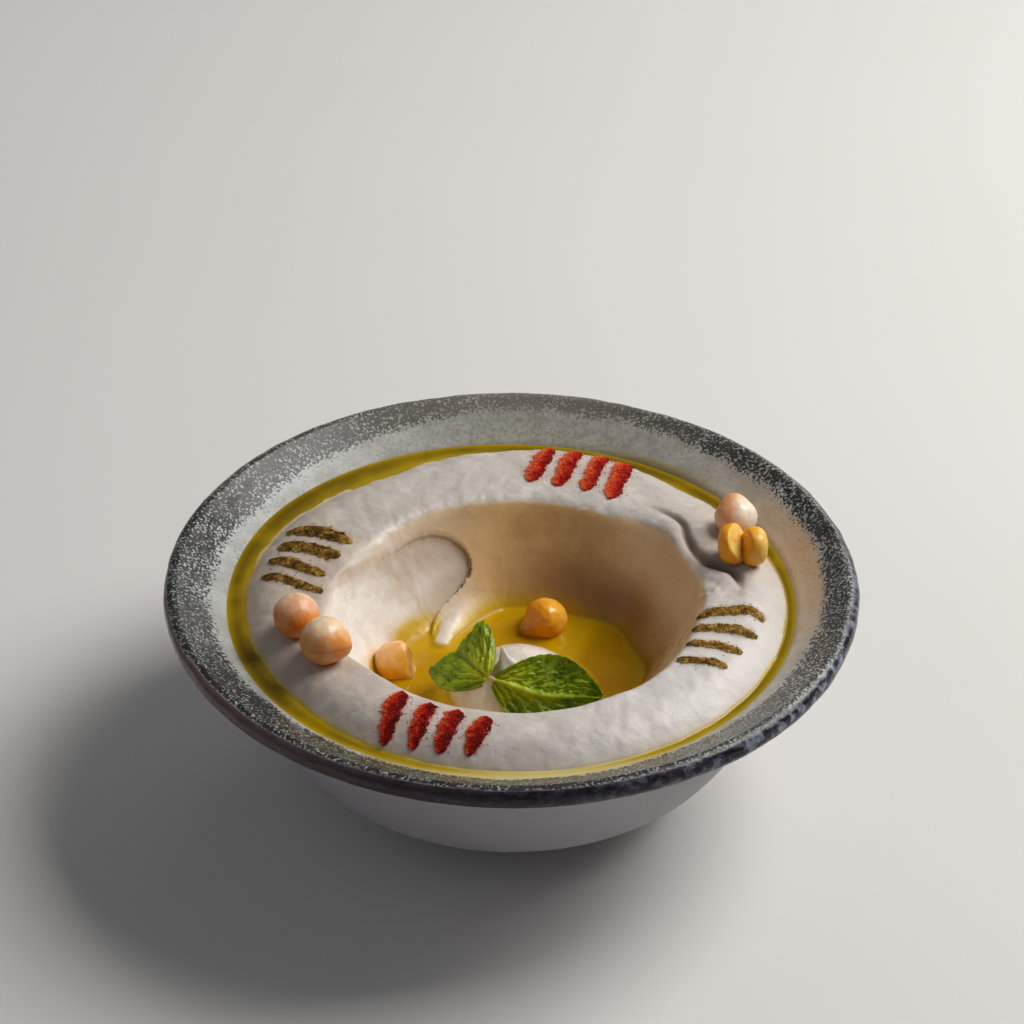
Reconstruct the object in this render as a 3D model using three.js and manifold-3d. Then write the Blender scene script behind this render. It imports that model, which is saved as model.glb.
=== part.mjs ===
import * as THREE from "three";
import { mergeVertices } from "three/addons/utils/BufferGeometryUtils.js";
import Module from "manifold-3d";

// A stoneware bowl of hummus with a deep scooped well, olive oil, chickpeas, mint and stripes of spice.
// Millimetres, +Z up. The origin is on the table under the middle of the foot, and -Y is the front.

const wasm = await Module();
wasm.setup();

// ---- Driving dimensions --------------------------------------------------------------------------

const SIDES = 60; // flats round the bowl, the hummus and the oil ring
const GAP = 0.3; // clearance between pieces that touch
const RIM_Z = 59.6; // height of the rim's outer shoulder; the lip's crown is 0.4 above it
const OUTER_WALL = [
  [47.9, 8.6],
  [54.5, 13.6],
  [60.4, 19.6],
  [66.9, 31.6],
  [74.5, 49.6],
  [79.5, 52.4],
  [87.2, 54.7],
];
const RIM_ROLL = [
  [88.1, 55.9],
  [88.1, 58.0],
  [87.3, 59.5],
  [85.8, 60.0],
  [84.0, 59.0],
];
const OIL_RING_Z = RIM_Z - 8.1; // level of the oil round the hummus
const OIL_RING_RADIUS = 72.45; // where that level meets the bowl
const INNER_WALL = [
  [78.2, 55.2],
  [OIL_RING_RADIUS, OIL_RING_Z],
  [69.8, 47],
  [67, 40.6],
  [62, 29.8],
  [55.4, 20.6],
  [45, 13.2],
  [30, 9.6],
];
const BOWL_FLOOR_Z = 8.1;
const FOOT = { outer: 38.2, inner: 32.2, recess: 2.9, bevel: 0.7 };

const CONTACT = { radius: 70.95, z: RIM_Z - 10.2 }; // where the hummus leaves the bowl's wall
const RING_Z = RIM_Z - 2.8; // top of the ring of hummus
const SHOULDER = 12; // width of the ring's rounded outer shoulder
// Radius of the hummus at the oil's level, by angle in degrees from +X.
const OUTLINE = [
  [-90, 69.9],
  [-58, 70.4],
  [-27, 70.3],
  [2, 70.2],
  [16, 69.6],
  [40, 69.2],
  [56, 69.9],
  [72, 70.6],
  [90, 68.7],
  [104, 66.4],
  [124, 64.0],
  [140, 65.2],
  [153, 66.2],
  [167, 66.8],
  [182, 67.9],
  [212, 67.6],
  [240, 69.0],
];

const WELL = { x: 2.2, y: -7, radius: 46, slope: 1.75, round: 3.6 };
// Dents and swellings of the well's edge: angle, half width in degrees, and depth.
const EDGE_WAVES = [
  [41, 13, 2.8],
  [62, 12, -1.5],
  [-24, 20, -1.3],
  [-62, 20, -1.5],
  [-100, 20, -0.8],
  [152, 16, -0.6],
];
const POOL_Z = RIM_Z - 28.5; // level of the oil in the well
const WELL_FLOOR_Z = POOL_Z - 3.2;
const MOUND = { x: 2, y: -8.5, height: 13.5, side: 21, back: 15.5, front: 15, frontLeft: 21 };

// The last scoop of the spoon: its edge on the left wall, then the way round its open side.
const SCOOP = [
  [-50, -13],
  [-46.6, -5.5],
  [-43.6, 1.5],
  [-40.2, 7.6],
  [-36.6, 13],
  [-31, 20.3],
  [-25.5, 26],
  [-20.5, 29.6],
  [-15.5, 31],
  [-11.9, 29.8],
  [-11.1, 27.3],
  [-13.4, 24],
  [-17.4, 19.6],
  [-19.8, 16],
  [-20.9, 12],
  [-20.5, 8.3],
  [-18, 4],
  [-17, -8],
  [-22, -30],
  [-44, -44],
  [-60, -34],
];
const TONGUE = [
  [-18, 8.4],
  [-16.9, 12.5],
  [-15, 17.5],
  [-12.8, 22.5],
];
const FOLD = [
  [33, 36.2],
  [40.5, 32],
  [45, 27.2],
  [46.2, 21],
  [48.4, 15],
  [51.5, 10.3],
  [54.2, 7.2],
  [56, 3.5],
  [56.5, -5],
];
const PEAK = { x: -2.2, y: -14.6, foot: 2.9, top: 47.4 };

// Stripes of spice, each along its middle from end to end, and the width of each.
const RED_STRIPES = [
  [[10.6, 64.4], [7.6, 56], [5.4, 48.6]],
  [[18, 64], [15, 55], [12.6, 46.8]],
  [[25.2, 63], [22.6, 54], [20, 44.6]],
  [[31.6, 61.4], [29.2, 52], [26.9, 41.6]],
  [[-27.4, -46.6], [-29, -54], [-30.3, -61.6]],
  [[-20.4, -50.6], [-22, -57], [-23.1, -63.8]],
  [[-13.4, -53.4], [-15.4, -60], [-17.1, -66]],
  [[-6.3, -55.6], [-8.3, -62], [-9.9, -67.4]],
];
const BROWN_STRIPES = [
  [[-59, 24.4], [-49.7, 22.6], [-40.9, 18.2]],
  [[-60.6, 17.4], [-52.4, 15.1], [-44.2, 12.4]],
  [[-62.4, 11.2], [-55.6, 8.8], [-47.6, 5.2]],
  [[-64, 4.6], [-56.2, 2.6], [-48, -2.6]],
  [[47.4, -10.8], [54, -10.9], [60.8, -10.4], [64, -13.6]],
  [[45.8, -16], [52.3, -18], [56.7, -19], [61.4, -20.6]],
  [[44.4, -22.8], [50.2, -24.4], [57.2, -27.9]],
  [[41.8, -29.4], [47.4, -30.6], [53.2, -33]],
];
const STRIPE = { redWidth: 4.3, brownWidth: 2.8, rise: 0.9, steps: 5, sides: 6 };

// Chickpeas: middle, radius, and the way the beak points. The last one is parting into its halves,
// and has half sizes along X, Y and Z instead.
const CHICKPEAS = [
  { name: "chickpea_ring_left_back", at: [-53.2, -21.3, 61.2], radius: 5.7, beak: [-0.2, 0.9, -0.3] },
  { name: "chickpea_ring_left_front", at: [-45.4, -32.3, 61.6], radius: 6.1, beak: [0.93, -0.3, -0.1] },
  { name: "chickpea_oil_left", at: [-29.8, -3.3, 33.3], radius: 5.3, beak: [0.9, -0.3, 0.2] },
  { name: "chickpea_oil_back", at: [8.9, 15.7, 33.4], radius: 5.8, beak: [-0.93, -0.3, -0.1] },
  { name: "chickpea_ring_right_pale", at: [58.2, 24.9, 60.4], radius: 5.6, beak: [-0.3, 0.9, 0.2] },
];
const SPLIT_CHICKPEA = { name: "chickpea_ring_right_split", at: [59.2, 10.9, 61.3], size: [6.6, 5.0, 5.2] };

// Mint leaves: stalk end, the way the midrib and the width run, sizes, the share of the length where
// the far end starts to bend down and the angle that it bends through, and the rise of the halves.
const LEAF_LEFT = {
  name: "mint_leaf_left",
  stalk: [-6.3, -19.9, 41.4],
  along: [-0.63, 0.775, 0.05],
  across: [0.66, 0.3, 0.68],
  length: 23,
  width: 21,
  bendFrom: 0.56,
  bend: 1.9,
  fold: 0.12,
};
const LEAF_RIGHT = {
  name: "mint_leaf_right",
  stalk: [-3.9, -20.2, 41.2],
  along: [0.985, -0.076, -0.156],
  across: [0.14, 0.64, 0.755],
  length: 28.5,
  width: 18.5,
  bendFrom: 0.6,
  bend: 0.25,
  fold: 0.12,
};
const LEAF_THICKNESS = 0.5;

// ---- Small helpers -------------------------------------------------------------------------------

function smoothstep(from, to, x) {
  const t = Math.min(Math.max((x - from) / (to - from), 0), 1);
  return t * t * (3 - 2 * t);
}

function bell(distance, width) {
  return Math.exp(-((distance / width) ** 2));
}

function softMax(a, b, blend) {
  return (a + b + Math.hypot(a - b, blend)) / 2;
}

function degreesBetween(a, b) {
  return THREE.MathUtils.euclideanModulo(a - b + 180, 360) - 180;
}

function curvePoints(points, steps, closed) {
  const flat = points.map(([x, y]) => new THREE.Vector3(x, y, 0));
  return new THREE.CatmullRomCurve3(flat, closed, "catmullrom").getPoints(steps);
}

// Radius at an angle, smooth through a table of [degrees, radius] rows that goes once round.
function radiusFromTable(table, degrees) {
  const count = table.length;
  const turn = THREE.MathUtils.euclideanModulo(degrees - table[0][0], 360);
  const row = (i) => {
    const at = THREE.MathUtils.euclideanModulo(i, count);
    return [table[at][0] - table[0][0] + 360 * Math.floor(i / count), table[at][1]];
  };
  let k = count - 1;
  while (row(k)[0] > turn) k -= 1;
  const [before, here, next, after] = [row(k - 1), row(k), row(k + 1), row(k + 2)];
  const span = next[0] - here[0];
  const t = (turn - here[0]) / span;
  const slopeHere = ((next[1] - before[1]) / (next[0] - before[0])) * span;
  const slopeNext = ((after[1] - here[1]) / (after[0] - here[0])) * span;
  const blend = t * t * (3 - 2 * t);
  const rise = t * (1 - t) * ((1 - t) * slopeHere - t * slopeNext);
  return here[1] + (next[1] - here[1]) * blend + rise;
}

// Distance to a drawn line, the share of its length at the nearest point, and which side it lies on.
function nearestOnLine(x, y, line) {
  let best = { distance: Infinity, share: 0, left: true };
  for (let i = 0; i + 1 < line.length; i += 1) {
    const [a, b] = [line[i], line[i + 1]];
    const [ex, ey] = [b.x - a.x, b.y - a.y];
    const along = ((x - a.x) * ex + (y - a.y) * ey) / (ex * ex + ey * ey);
    const t = Math.min(Math.max(along, 0), 1);
    const distance = Math.hypot(x - a.x - t * ex, y - a.y - t * ey);
    if (distance < best.distance) {
      const left = (x - a.x) * ey - (y - a.y) * ex < 0;
      best = { distance, share: (i + t) / (line.length - 1), left };
    }
  }
  return best;
}

// Distance to a closed outline, positive inside it.
function depthInside(x, y, outline) {
  let inside = false;
  outline.forEach((a, i) => {
    const b = outline[(i + 1) % outline.length];
    const crosses = a.y > y !== b.y > y;
    if (crosses && x < ((b.x - a.x) * (y - a.y)) / (b.y - a.y) + a.x) inside = !inside;
  });
  const { distance } = nearestOnLine(x, y, [...outline, outline[0]]);
  return inside ? distance : -distance;
}

// ---- The form of the hummus ----------------------------------------------------------------------

const scoopOutline = curvePoints(SCOOP, 80, true).slice(0, -1);
const tongueLine = curvePoints(TONGUE, 12, false);
const foldLine = curvePoints(FOLD, 32, false);

function wellEdge(degrees) {
  return EDGE_WAVES.reduce(
    (radius, [at, width, depth]) => radius + depth * bell(degreesBetween(degrees, at), width),
    WELL.radius,
  );
}

function hummusRadius(x, y) {
  return radiusFromTable(OUTLINE, THREE.MathUtils.radToDeg(Math.atan2(y, x)));
}

function ringDrop(x, y) {
  const radius = Math.hypot(x, y);
  const outline = hummusRadius(x, y);
  const shoulder = Math.min(Math.max((radius - outline + SHOULDER) / SHOULDER, 0), 1);
  const under = Math.min(Math.max((radius - outline) / (CONTACT.radius - outline), 0), 1);
  return (RING_Z - OIL_RING_Z) * shoulder ** 2.4 + (OIL_RING_Z - CONTACT.z) * under;
}

// How far the last scoop pushed the wall outwards.
function scoopShift(x, y, distance, degrees) {
  const turn = THREE.MathUtils.euclideanModulo(degrees, 360);
  const scooped = smoothstep(-1.6, 2, depthInside(x, y, scoopOutline));
  const depth = Math.min(Math.max(0.9 + 0.13 * (44 - distance), 0.6), 2.6);
  const left = smoothstep(136, 170, turn) * (1 - smoothstep(192, 222, turn));
  return scooped * (depth + 3.4 * left) * (1 - smoothstep(205, 235, turn));
}

function foldRelief(x, y) {
  const { distance, share, left } = nearestOnLine(x, y, foldLine);
  const fade = smoothstep(0, 0.25, share) * (1 - smoothstep(0.82, 1, share));
  const groove = 1.5 * bell(distance, 1.7);
  const lip = left ? 0 : 0.9 * bell(distance - 3.2, 2);
  return fade * (lip - groove);
}

function moundHeight(x, y) {
  const toFront = MOUND.front + (MOUND.frontLeft - MOUND.front) * smoothstep(8, -8, x);
  const depth = y > MOUND.y ? MOUND.back : toFront;
  const q = ((x - MOUND.x) / MOUND.side) ** 2 + ((y - MOUND.y) / depth) ** 2;
  return MOUND.height * Math.max(1 - q, 0) ** 1.15;
}

// Height of the top of the hummus at any place in the bowl.
function hummusTop(x, y) {
  const distance = Math.hypot(x - WELL.x, y - WELL.y);
  const degrees = THREE.MathUtils.radToDeg(Math.atan2(y - WELL.y, x - WELL.x));
  const inward = distance - scoopShift(x, y, distance, degrees) - wellEdge(degrees);
  const fall = (WELL.slope * (Math.hypot(inward, WELL.round) - inward)) / 2;
  const wall = RING_Z - fall - ringDrop(x, y) + foldRelief(x, y);
  const floor = WELL_FLOOR_Z + 0.0027 * Math.max(distance - 22, 0) ** 2;
  let z = softMax(wall, floor + moundHeight(x, y), 1.6);
  const ridge = nearestOnLine(x, y, tongueLine);
  if (ridge.distance < 9) {
    const crest = POOL_Z + 0.9 + 4.2 * ridge.share ** 1.3 - 0.13 * ridge.distance ** 2;
    z = softMax(z, crest, 0.7);
  }
  return z;
}

// ---- Solids --------------------------------------------------------------------------------------

function toSolid(geometry) {
  const bare = geometry.clone();
  bare.deleteAttribute("normal");
  bare.deleteAttribute("uv");
  const merged = mergeVertices(bare, 1e-4);
  const vertProperties = new Float32Array(merged.attributes.position.array);
  const triVerts = new Uint32Array(merged.index.array);
  return new wasm.Manifold(new wasm.Mesh({ numProp: 3, vertProperties, triVerts }));
}

function toGeometry(solid) {
  const mesh = solid.getMesh();
  const geometry = new THREE.BufferGeometry();
  geometry.setAttribute("position", new THREE.BufferAttribute(mesh.vertProperties, 3));
  geometry.setIndex(new THREE.BufferAttribute(mesh.triVerts, 1));
  return geometry;
}

function largestBody(solid) {
  return solid.decompose().reduce((a, b) => (a.volume() > b.volume() ? a : b));
}

// A closed skin from rings of points, which run anticlockwise seen from the start: each ring joins
// the next, every quad is split along its shorter diagonal, and single points close both ends.
function ringsGeometry(start, rings, end) {
  const sides = rings[0].length;
  const points = [start, ...rings.flat(), end];
  const at = (ring, k) => 1 + ring * sides + (k % sides);
  const faces = [];
  for (let k = 0; k < sides; k += 1) {
    faces.push(0, at(0, k), at(0, k + 1));
    for (let ring = 0; ring + 1 < rings.length; ring += 1) {
      const [a, b] = [at(ring, k), at(ring + 1, k)];
      const [c, d] = [at(ring + 1, k + 1), at(ring, k + 1)];
      const shorterBD = points[b].distanceTo(points[d]) <= points[a].distanceTo(points[c]);
      faces.push(...(shorterBD ? [a, b, d, d, b, c] : [a, b, c, a, c, d]));
    }
    faces.push(at(rings.length - 1, k + 1), at(rings.length - 1, k), points.length - 1);
  }
  const geometry = new THREE.BufferGeometry().setFromPoints(points);
  geometry.setIndex(faces);
  return geometry;
}

function directionOf(k) {
  const angle = (2 * Math.PI * k) / SIDES;
  return [Math.sin(angle), -Math.cos(angle)];
}

function circleAt(radius, z) {
  return Array.from({ length: SIDES }, (_, k) => {
    const [dx, dy] = directionOf(k);
    return new THREE.Vector3(radius * dx, radius * dy, z);
  });
}

// ---- Bowl ----------------------------------------------------------------------------------------

function bowlGeometry() {
  const { outer, inner, recess, bevel } = FOOT;
  const profile = [
    [0, recess],
    [inner - 1.2, recess],
    [inner + bevel, 0],
    [outer - bevel, 0],
    [outer, bevel],
    [outer + 0.8, 3.6],
    ...OUTER_WALL,
    ...RIM_ROLL,
    ...INNER_WALL,
    [0, BOWL_FLOOR_Z],
  ];
  const points = profile.map(([radius, z]) => new THREE.Vector2(radius, z));
  return new THREE.LatheGeometry(points, SIDES).rotateX(Math.PI / 2);
}

// ---- Hummus --------------------------------------------------------------------------------------

// The bowl's inner wall below the contact line, set in by the gap.
function underside() {
  const wall = [...INNER_WALL, [0, BOWL_FLOOR_Z]];
  const inset = [];
  for (let i = 2; i + 1 < wall.length; i += 1) {
    const [before, here, after] = [wall[i - 1], wall[i], wall[i + 1]];
    const run = new THREE.Vector2(before[0] - after[0], before[1] - after[1]).normalize();
    inset.push([here[0] - GAP * run.y, here[1] + GAP * run.x]);
  }
  return inset;
}

// Rings of points on the top: from the middle to the well's edge, on to the oil's level, and last
// the contact line.
function topRings(raise) {
  const [insideSteps, ringSteps] = [14, 7];
  const rings = [];
  for (let i = 1; i <= insideSteps + ringSteps + 1; i += 1) {
    const ring = Array.from({ length: SIDES }, (_, k) => {
      const [dx, dy] = directionOf(k);
      const towards = dx * WELL.x + dy * WELL.y;
      const beside = dx * WELL.y - dy * WELL.x;
      const edge = towards + Math.sqrt(WELL.radius ** 2 - beside ** 2) + 1;
      const outline = hummusRadius(dx, dy);
      let radius = (edge * i) / insideSteps;
      if (i > insideSteps) radius = edge + ((outline - edge) * (i - insideSteps)) / ringSteps;
      if (i > insideSteps + ringSteps) radius = CONTACT.radius;
      return new THREE.Vector3(radius * dx, radius * dy, hummusTop(radius * dx, radius * dy) + raise);
    });
    rings.push(ring);
  }
  return rings;
}

function stripeSolid(line, width) {
  const curve = new THREE.CatmullRomCurve3(
    line.map(([x, y]) => new THREE.Vector3(x, y, 0)),
    false,
    "catmullrom",
  );
  const rings = [];
  for (let i = 0; i <= STRIPE.steps; i += 1) {
    const t = 0.03 + (0.94 * i) / STRIPE.steps;
    const middle = curve.getPointAt(t);
    const ahead = curve.getTangentAt(t);
    const swell = Math.sqrt(Math.sin(Math.PI * (0.1 + 0.8 * t)));
    rings.push(
      Array.from({ length: STRIPE.sides }, (_, k) => {
        const angle = (2 * Math.PI * k) / STRIPE.sides;
        const side = (width / 2) * swell * Math.cos(angle);
        const [x, y] = [middle.x - ahead.y * side, middle.y + ahead.x * side];
        return new THREE.Vector3(x, y, hummusTop(x, y) + 0.1 + STRIPE.rise * Math.sin(angle) * swell);
      }),
    );
  }
  const cap = (t) => {
    const { x, y } = curve.getPointAt(t);
    return new THREE.Vector3(x, y, hummusTop(x, y));
  };
  return toSolid(ringsGeometry(cap(1), rings.reverse(), cap(0)));
}

function peakSolid() {
  const foot = hummusTop(PEAK.x, PEAK.y) - 1.5;
  const rings = [0.15, 0.45, 0.75, 1].map((share) => {
    const radius = PEAK.foot * share ** 1.2;
    const z = PEAK.top - (PEAK.top - foot) * share;
    return Array.from({ length: 8 }, (_, k) => {
      const angle = (2 * Math.PI * k) / 8;
      const [dx, dy] = [radius * Math.cos(angle), radius * Math.sin(angle)];
      return new THREE.Vector3(PEAK.x + dx, PEAK.y + dy, z);
    });
  });
  const tip = new THREE.Vector3(PEAK.x, PEAK.y, PEAK.top);
  return toSolid(ringsGeometry(tip, rings, new THREE.Vector3(PEAK.x, PEAK.y, foot)));
}

function hummusSolid(seats) {
  const middle = new THREE.Vector3(0, 0, hummusTop(0, 0));
  const below = underside().map(([radius, z]) => circleAt(radius, z));
  const bottom = new THREE.Vector3(0, 0, BOWL_FLOOR_Z + GAP);
  let solid = toSolid(ringsGeometry(middle, [...topRings(0), ...below], bottom));
  RED_STRIPES.forEach((line) => {
    solid = solid.add(stripeSolid(line, STRIPE.redWidth));
  });
  BROWN_STRIPES.forEach((line) => {
    solid = solid.add(stripeSolid(line, STRIPE.brownWidth));
  });
  solid = solid.add(peakSolid());
  seats.forEach((seat) => {
    solid = solid.subtract(seat);
  });
  return largestBody(solid);
}

// ---- Oil -----------------------------------------------------------------------------------------

// The oil in the well: a level slab less the hummus, the chickpeas in it and their clearance.
function oilPoolSolid(seats) {
  const slab = new THREE.CylinderGeometry(43, 43, 8, SIDES).rotateX(Math.PI / 2);
  slab.translate(WELL.x, WELL.y, POOL_Z - 4);
  const raised = topRings(2 * GAP);
  const middle = new THREE.Vector3(0, 0, hummusTop(0, 0) + 2 * GAP);
  const block = ringsGeometry(middle, [...raised, circleAt(CONTACT.radius, 5)], new THREE.Vector3(0, 0, 5));
  let solid = toSolid(slab).subtract(toSolid(block));
  seats.forEach((seat) => {
    solid = solid.subtract(seat);
  });
  return largestBody(solid);
}

// The oil between the hummus and the bowl: a ring of three-sided section, wider where the gap is.
function oilRingGeometry() {
  const sunk = 0.62;
  const wallAtContact = CONTACT.radius + GAP;
  const sections = Array.from({ length: SIDES }, (_, k) => {
    const [dx, dy] = directionOf(k);
    const inner = hummusRadius(dx, dy);
    const hummusSide = inner + sunk * (CONTACT.radius - inner);
    const bowlSide = OIL_RING_RADIUS + sunk * (wallAtContact - OIL_RING_RADIUS);
    const section = [
      [inner + 1.4 * GAP, OIL_RING_Z],
      [(hummusSide + bowlSide) / 2, OIL_RING_Z - sunk * (OIL_RING_Z - CONTACT.z)],
      [OIL_RING_RADIUS - 1.4 * GAP, OIL_RING_Z],
    ];
    return section.map(([radius, z]) => new THREE.Vector3(radius * dx, radius * dy, z));
  });
  const faces = [];
  for (let k = 0; k < SIDES; k += 1) {
    for (let j = 0; j < 3; j += 1) {
      const [a, b] = [3 * k + j, 3 * k + ((j + 1) % 3)];
      const [c, d] = [3 * ((k + 1) % SIDES) + j, 3 * ((k + 1) % SIDES) + ((j + 1) % 3)];
      faces.push(a, c, b, b, c, d);
    }
  }
  const geometry = new THREE.BufferGeometry().setFromPoints(sections.flat());
  geometry.setIndex(faces);
  return geometry;
}

// ---- Chickpeas -----------------------------------------------------------------------------------

function shapedSphere(radiusAt) {
  const geometry = new THREE.SphereGeometry(1, 14, 9).rotateX(Math.PI / 2);
  const place = geometry.attributes.position;
  for (let i = 0; i < place.count; i += 1) {
    const way = new THREE.Vector3().fromBufferAttribute(place, i).normalize();
    place.setXYZ(i, ...radiusAt(way).toArray());
  }
  return toSolid(geometry);
}

// A round pea drawn out into a short beak, with a shallow dip on each side of it.
function chickpeaSolid({ at, radius, beak }, grow) {
  const middle = new THREE.Vector3(...at);
  const tip = new THREE.Vector3(...beak).normalize();
  return shapedSphere((way) => {
    const off = way.angleTo(tip);
    const length = radius * (1 + 0.13 * bell(off, 0.42) - 0.05 * bell(off - 0.85, 0.35)) + grow;
    return way.multiplyScalar(length).add(middle);
  });
}

// A pea whose two halves part along a cleft that faces front and up.
function splitChickpeaSolid({ at, size }, grow) {
  const middle = new THREE.Vector3(...at);
  return shapedSphere((way) => {
    const cleft = 1 - 0.2 * bell(way.x, 0.22) * smoothstep(-0.4, 0.5, way.z - way.y);
    const [sx, sy, sz] = size.map((half) => half * cleft + grow);
    return new THREE.Vector3(way.x * sx, way.y * sy, way.z * sz).add(middle);
  });
}

// ---- Mint ----------------------------------------------------------------------------------------

// A point on a leaf: u runs from the stalk to the tip, v from edge to edge.
function leafPoint(leaf, u, v) {
  const along = new THREE.Vector3(...leaf.along).normalize();
  const across = new THREE.Vector3(...leaf.across);
  across.addScaledVector(along, -across.dot(along)).normalize();
  const up = new THREE.Vector3().crossVectors(across, along);
  const half = (leaf.width / 2) * Math.sin(Math.PI * (0.04 + 0.92 * u) ** 0.85) ** 0.8;
  const bent = (leaf.bend * Math.max(u - leaf.bendFrom, 0)) / (1 - leaf.bendFrom);
  const bendRadius = ((1 - leaf.bendFrom) * leaf.length) / leaf.bend;
  const reach = Math.min(u, leaf.bendFrom) * leaf.length + bendRadius * Math.sin(bent);
  const drop = bendRadius * (1 - Math.cos(bent));
  const ripple = 0.35 * Math.sin(13 * u + 2 * v) * Math.abs(v);
  const side = v * half;
  const lift = leaf.fold * Math.abs(side) - drop + ripple;
  const point = new THREE.Vector3(...leaf.stalk).addScaledVector(along, reach);
  point.addScaledVector(across, side).addScaledVector(up, lift);
  const floor = Math.max(hummusTop(point.x, point.y), POOL_Z) + 0.9;
  point.z = Math.max(point.z, floor);
  return point;
}

// A thin wavy sheet: the same grid of triangles on both faces, closed round its edge.
function leafSolid(leaf) {
  const [rows, columns] = [11, 6];
  const grid = [];
  for (let i = 0; i <= rows; i += 1) {
    for (let j = 0; j <= columns; j += 1) grid.push(leafPoint(leaf, i / rows, (2 * j) / columns - 1));
  }
  const sheet = new THREE.BufferGeometry().setFromPoints(grid);
  const faces = [];
  const at = (i, j) => i * (columns + 1) + j;
  for (let i = 0; i < rows; i += 1) {
    for (let j = 0; j < columns; j += 1) {
      faces.push(at(i, j), at(i + 1, j), at(i, j + 1));
      faces.push(at(i, j + 1), at(i + 1, j), at(i + 1, j + 1));
    }
  }
  sheet.setIndex(faces);
  sheet.computeVertexNormals();
  const normals = sheet.attributes.normal;
  const shift = (side) =>
    grid.map((point, i) => {
      const normal = new THREE.Vector3().fromBufferAttribute(normals, i);
      return point.clone().addScaledVector(normal, (side * LEAF_THICKNESS) / 2);
    });
  const [top, back] = [shift(1), shift(-1)];
  const count = grid.length;
  const edge = [];
  for (let j = 0; j < columns; j += 1) edge.push(at(0, j));
  for (let i = 0; i < rows; i += 1) edge.push(at(i, columns));
  for (let j = columns; j > 0; j -= 1) edge.push(at(rows, j));
  for (let i = rows; i > 0; i -= 1) edge.push(at(i, 0));
  const closed = [...faces];
  for (let i = 0; i < faces.length; i += 3) {
    closed.push(faces[i] + count, faces[i + 2] + count, faces[i + 1] + count);
  }
  edge.forEach((a, i) => {
    const b = edge[(i + 1) % edge.length];
    closed.push(a, b, a + count, b, b + count, a + count);
  });
  const geometry = new THREE.BufferGeometry().setFromPoints([...top, ...back]);
  geometry.setIndex(closed);
  return toSolid(geometry);
}

// ---- Materials -----------------------------------------------------------------------------------

function finish(color, roughness) {
  return new THREE.MeshStandardMaterial({ color, roughness, metalness: 0 });
}

const glaze = finish(0xb4b4aa, 0.35);
const hummusPaste = finish(0xe4ddd0, 0.55);
const oliveOil = finish(0xb8961c, 0.1);
const chickpeaSkin = finish(0xdfa878, 0.4);
const chickpeaFlesh = finish(0xeebb3c, 0.4);
const mintGreen = finish(0x4c8a2a, 0.5);

// ---- Assembly ------------------------------------------------------------------------------------

const group = new THREE.Group();

function addPiece(name, geometry, material) {
  const mesh = new THREE.Mesh(geometry, material);
  mesh.name = name;
  group.add(mesh);
}

const seats = CHICKPEAS.map((pea) => chickpeaSolid(pea, GAP));
seats.push(splitChickpeaSolid(SPLIT_CHICKPEA, GAP));

addPiece("bowl", bowlGeometry(), glaze);
addPiece("hummus", toGeometry(hummusSolid(seats)), hummusPaste);
addPiece("oil_ring", oilRingGeometry(), oliveOil);
addPiece("oil_pool", toGeometry(oilPoolSolid(seats)), oliveOil);
CHICKPEAS.forEach((pea) => {
  addPiece(pea.name, toGeometry(chickpeaSolid(pea, 0)), chickpeaSkin);
});
addPiece(SPLIT_CHICKPEA.name, toGeometry(splitChickpeaSolid(SPLIT_CHICKPEA, 0)), chickpeaFlesh);
[LEAF_LEFT, LEAF_RIGHT].forEach((leaf) => {
  addPiece(leaf.name, toGeometry(leafSolid(leaf)), mintGreen);
});

export default group;
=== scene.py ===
import math

import bmesh
import bpy
import numpy as np
from mathutils import Matrix, Vector


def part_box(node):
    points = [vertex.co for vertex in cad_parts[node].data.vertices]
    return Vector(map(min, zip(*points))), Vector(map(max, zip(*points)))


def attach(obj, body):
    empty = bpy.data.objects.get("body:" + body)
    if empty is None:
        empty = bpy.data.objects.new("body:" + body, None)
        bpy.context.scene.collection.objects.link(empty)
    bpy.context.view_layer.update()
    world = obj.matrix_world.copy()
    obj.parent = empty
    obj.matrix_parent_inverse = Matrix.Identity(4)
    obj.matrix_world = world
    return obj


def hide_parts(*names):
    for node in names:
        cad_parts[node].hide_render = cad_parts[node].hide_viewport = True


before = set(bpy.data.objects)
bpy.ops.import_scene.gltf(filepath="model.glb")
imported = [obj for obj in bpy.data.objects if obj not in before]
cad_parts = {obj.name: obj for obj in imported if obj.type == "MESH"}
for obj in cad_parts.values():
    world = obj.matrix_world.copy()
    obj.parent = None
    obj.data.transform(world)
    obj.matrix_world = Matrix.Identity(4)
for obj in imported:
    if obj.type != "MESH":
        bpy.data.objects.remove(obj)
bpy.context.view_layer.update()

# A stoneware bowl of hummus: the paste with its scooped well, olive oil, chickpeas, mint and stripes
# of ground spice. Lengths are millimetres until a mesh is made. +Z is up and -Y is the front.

MM = 0.001

# ---- Driving dimensions ----

RIM_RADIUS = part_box("bowl")[1].x / MM
RIM_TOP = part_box("bowl")[1].z / MM
RIM_Z = RIM_TOP - 0.4
OIL_RING_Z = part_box("oil_ring")[1].z / MM
POOL_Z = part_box("oil_pool")[1].z / MM
OIL_RING_RADIUS = 72.45
CONTACT_RADIUS = 70.95
CONTACT_Z = RIM_Z - 10.2
RING_Z = RIM_Z - 2.8
SHOULDER = 12
GAP = 0.3

# Radius of the hummus at the level of the oil round it, by angle in degrees from +X.
OUTLINE = (
    (-90, 69.9), (-58, 70.4), (-27, 70.3), (2, 70.2), (16, 69.4), (40, 67.9), (56, 68.0), (72, 69.8),
    (90, 68.3), (104, 66.0), (124, 63.4), (140, 64.7), (153, 66.0), (167, 66.8), (182, 67.9),
    (212, 67.6), (240, 69.0),
)
WELL_X, WELL_Y = 2.2, -7.0
WELL_RADIUS = 46.0
WALL_SLOPE = 1.75
EDGE_ROUND = 1.7
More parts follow.
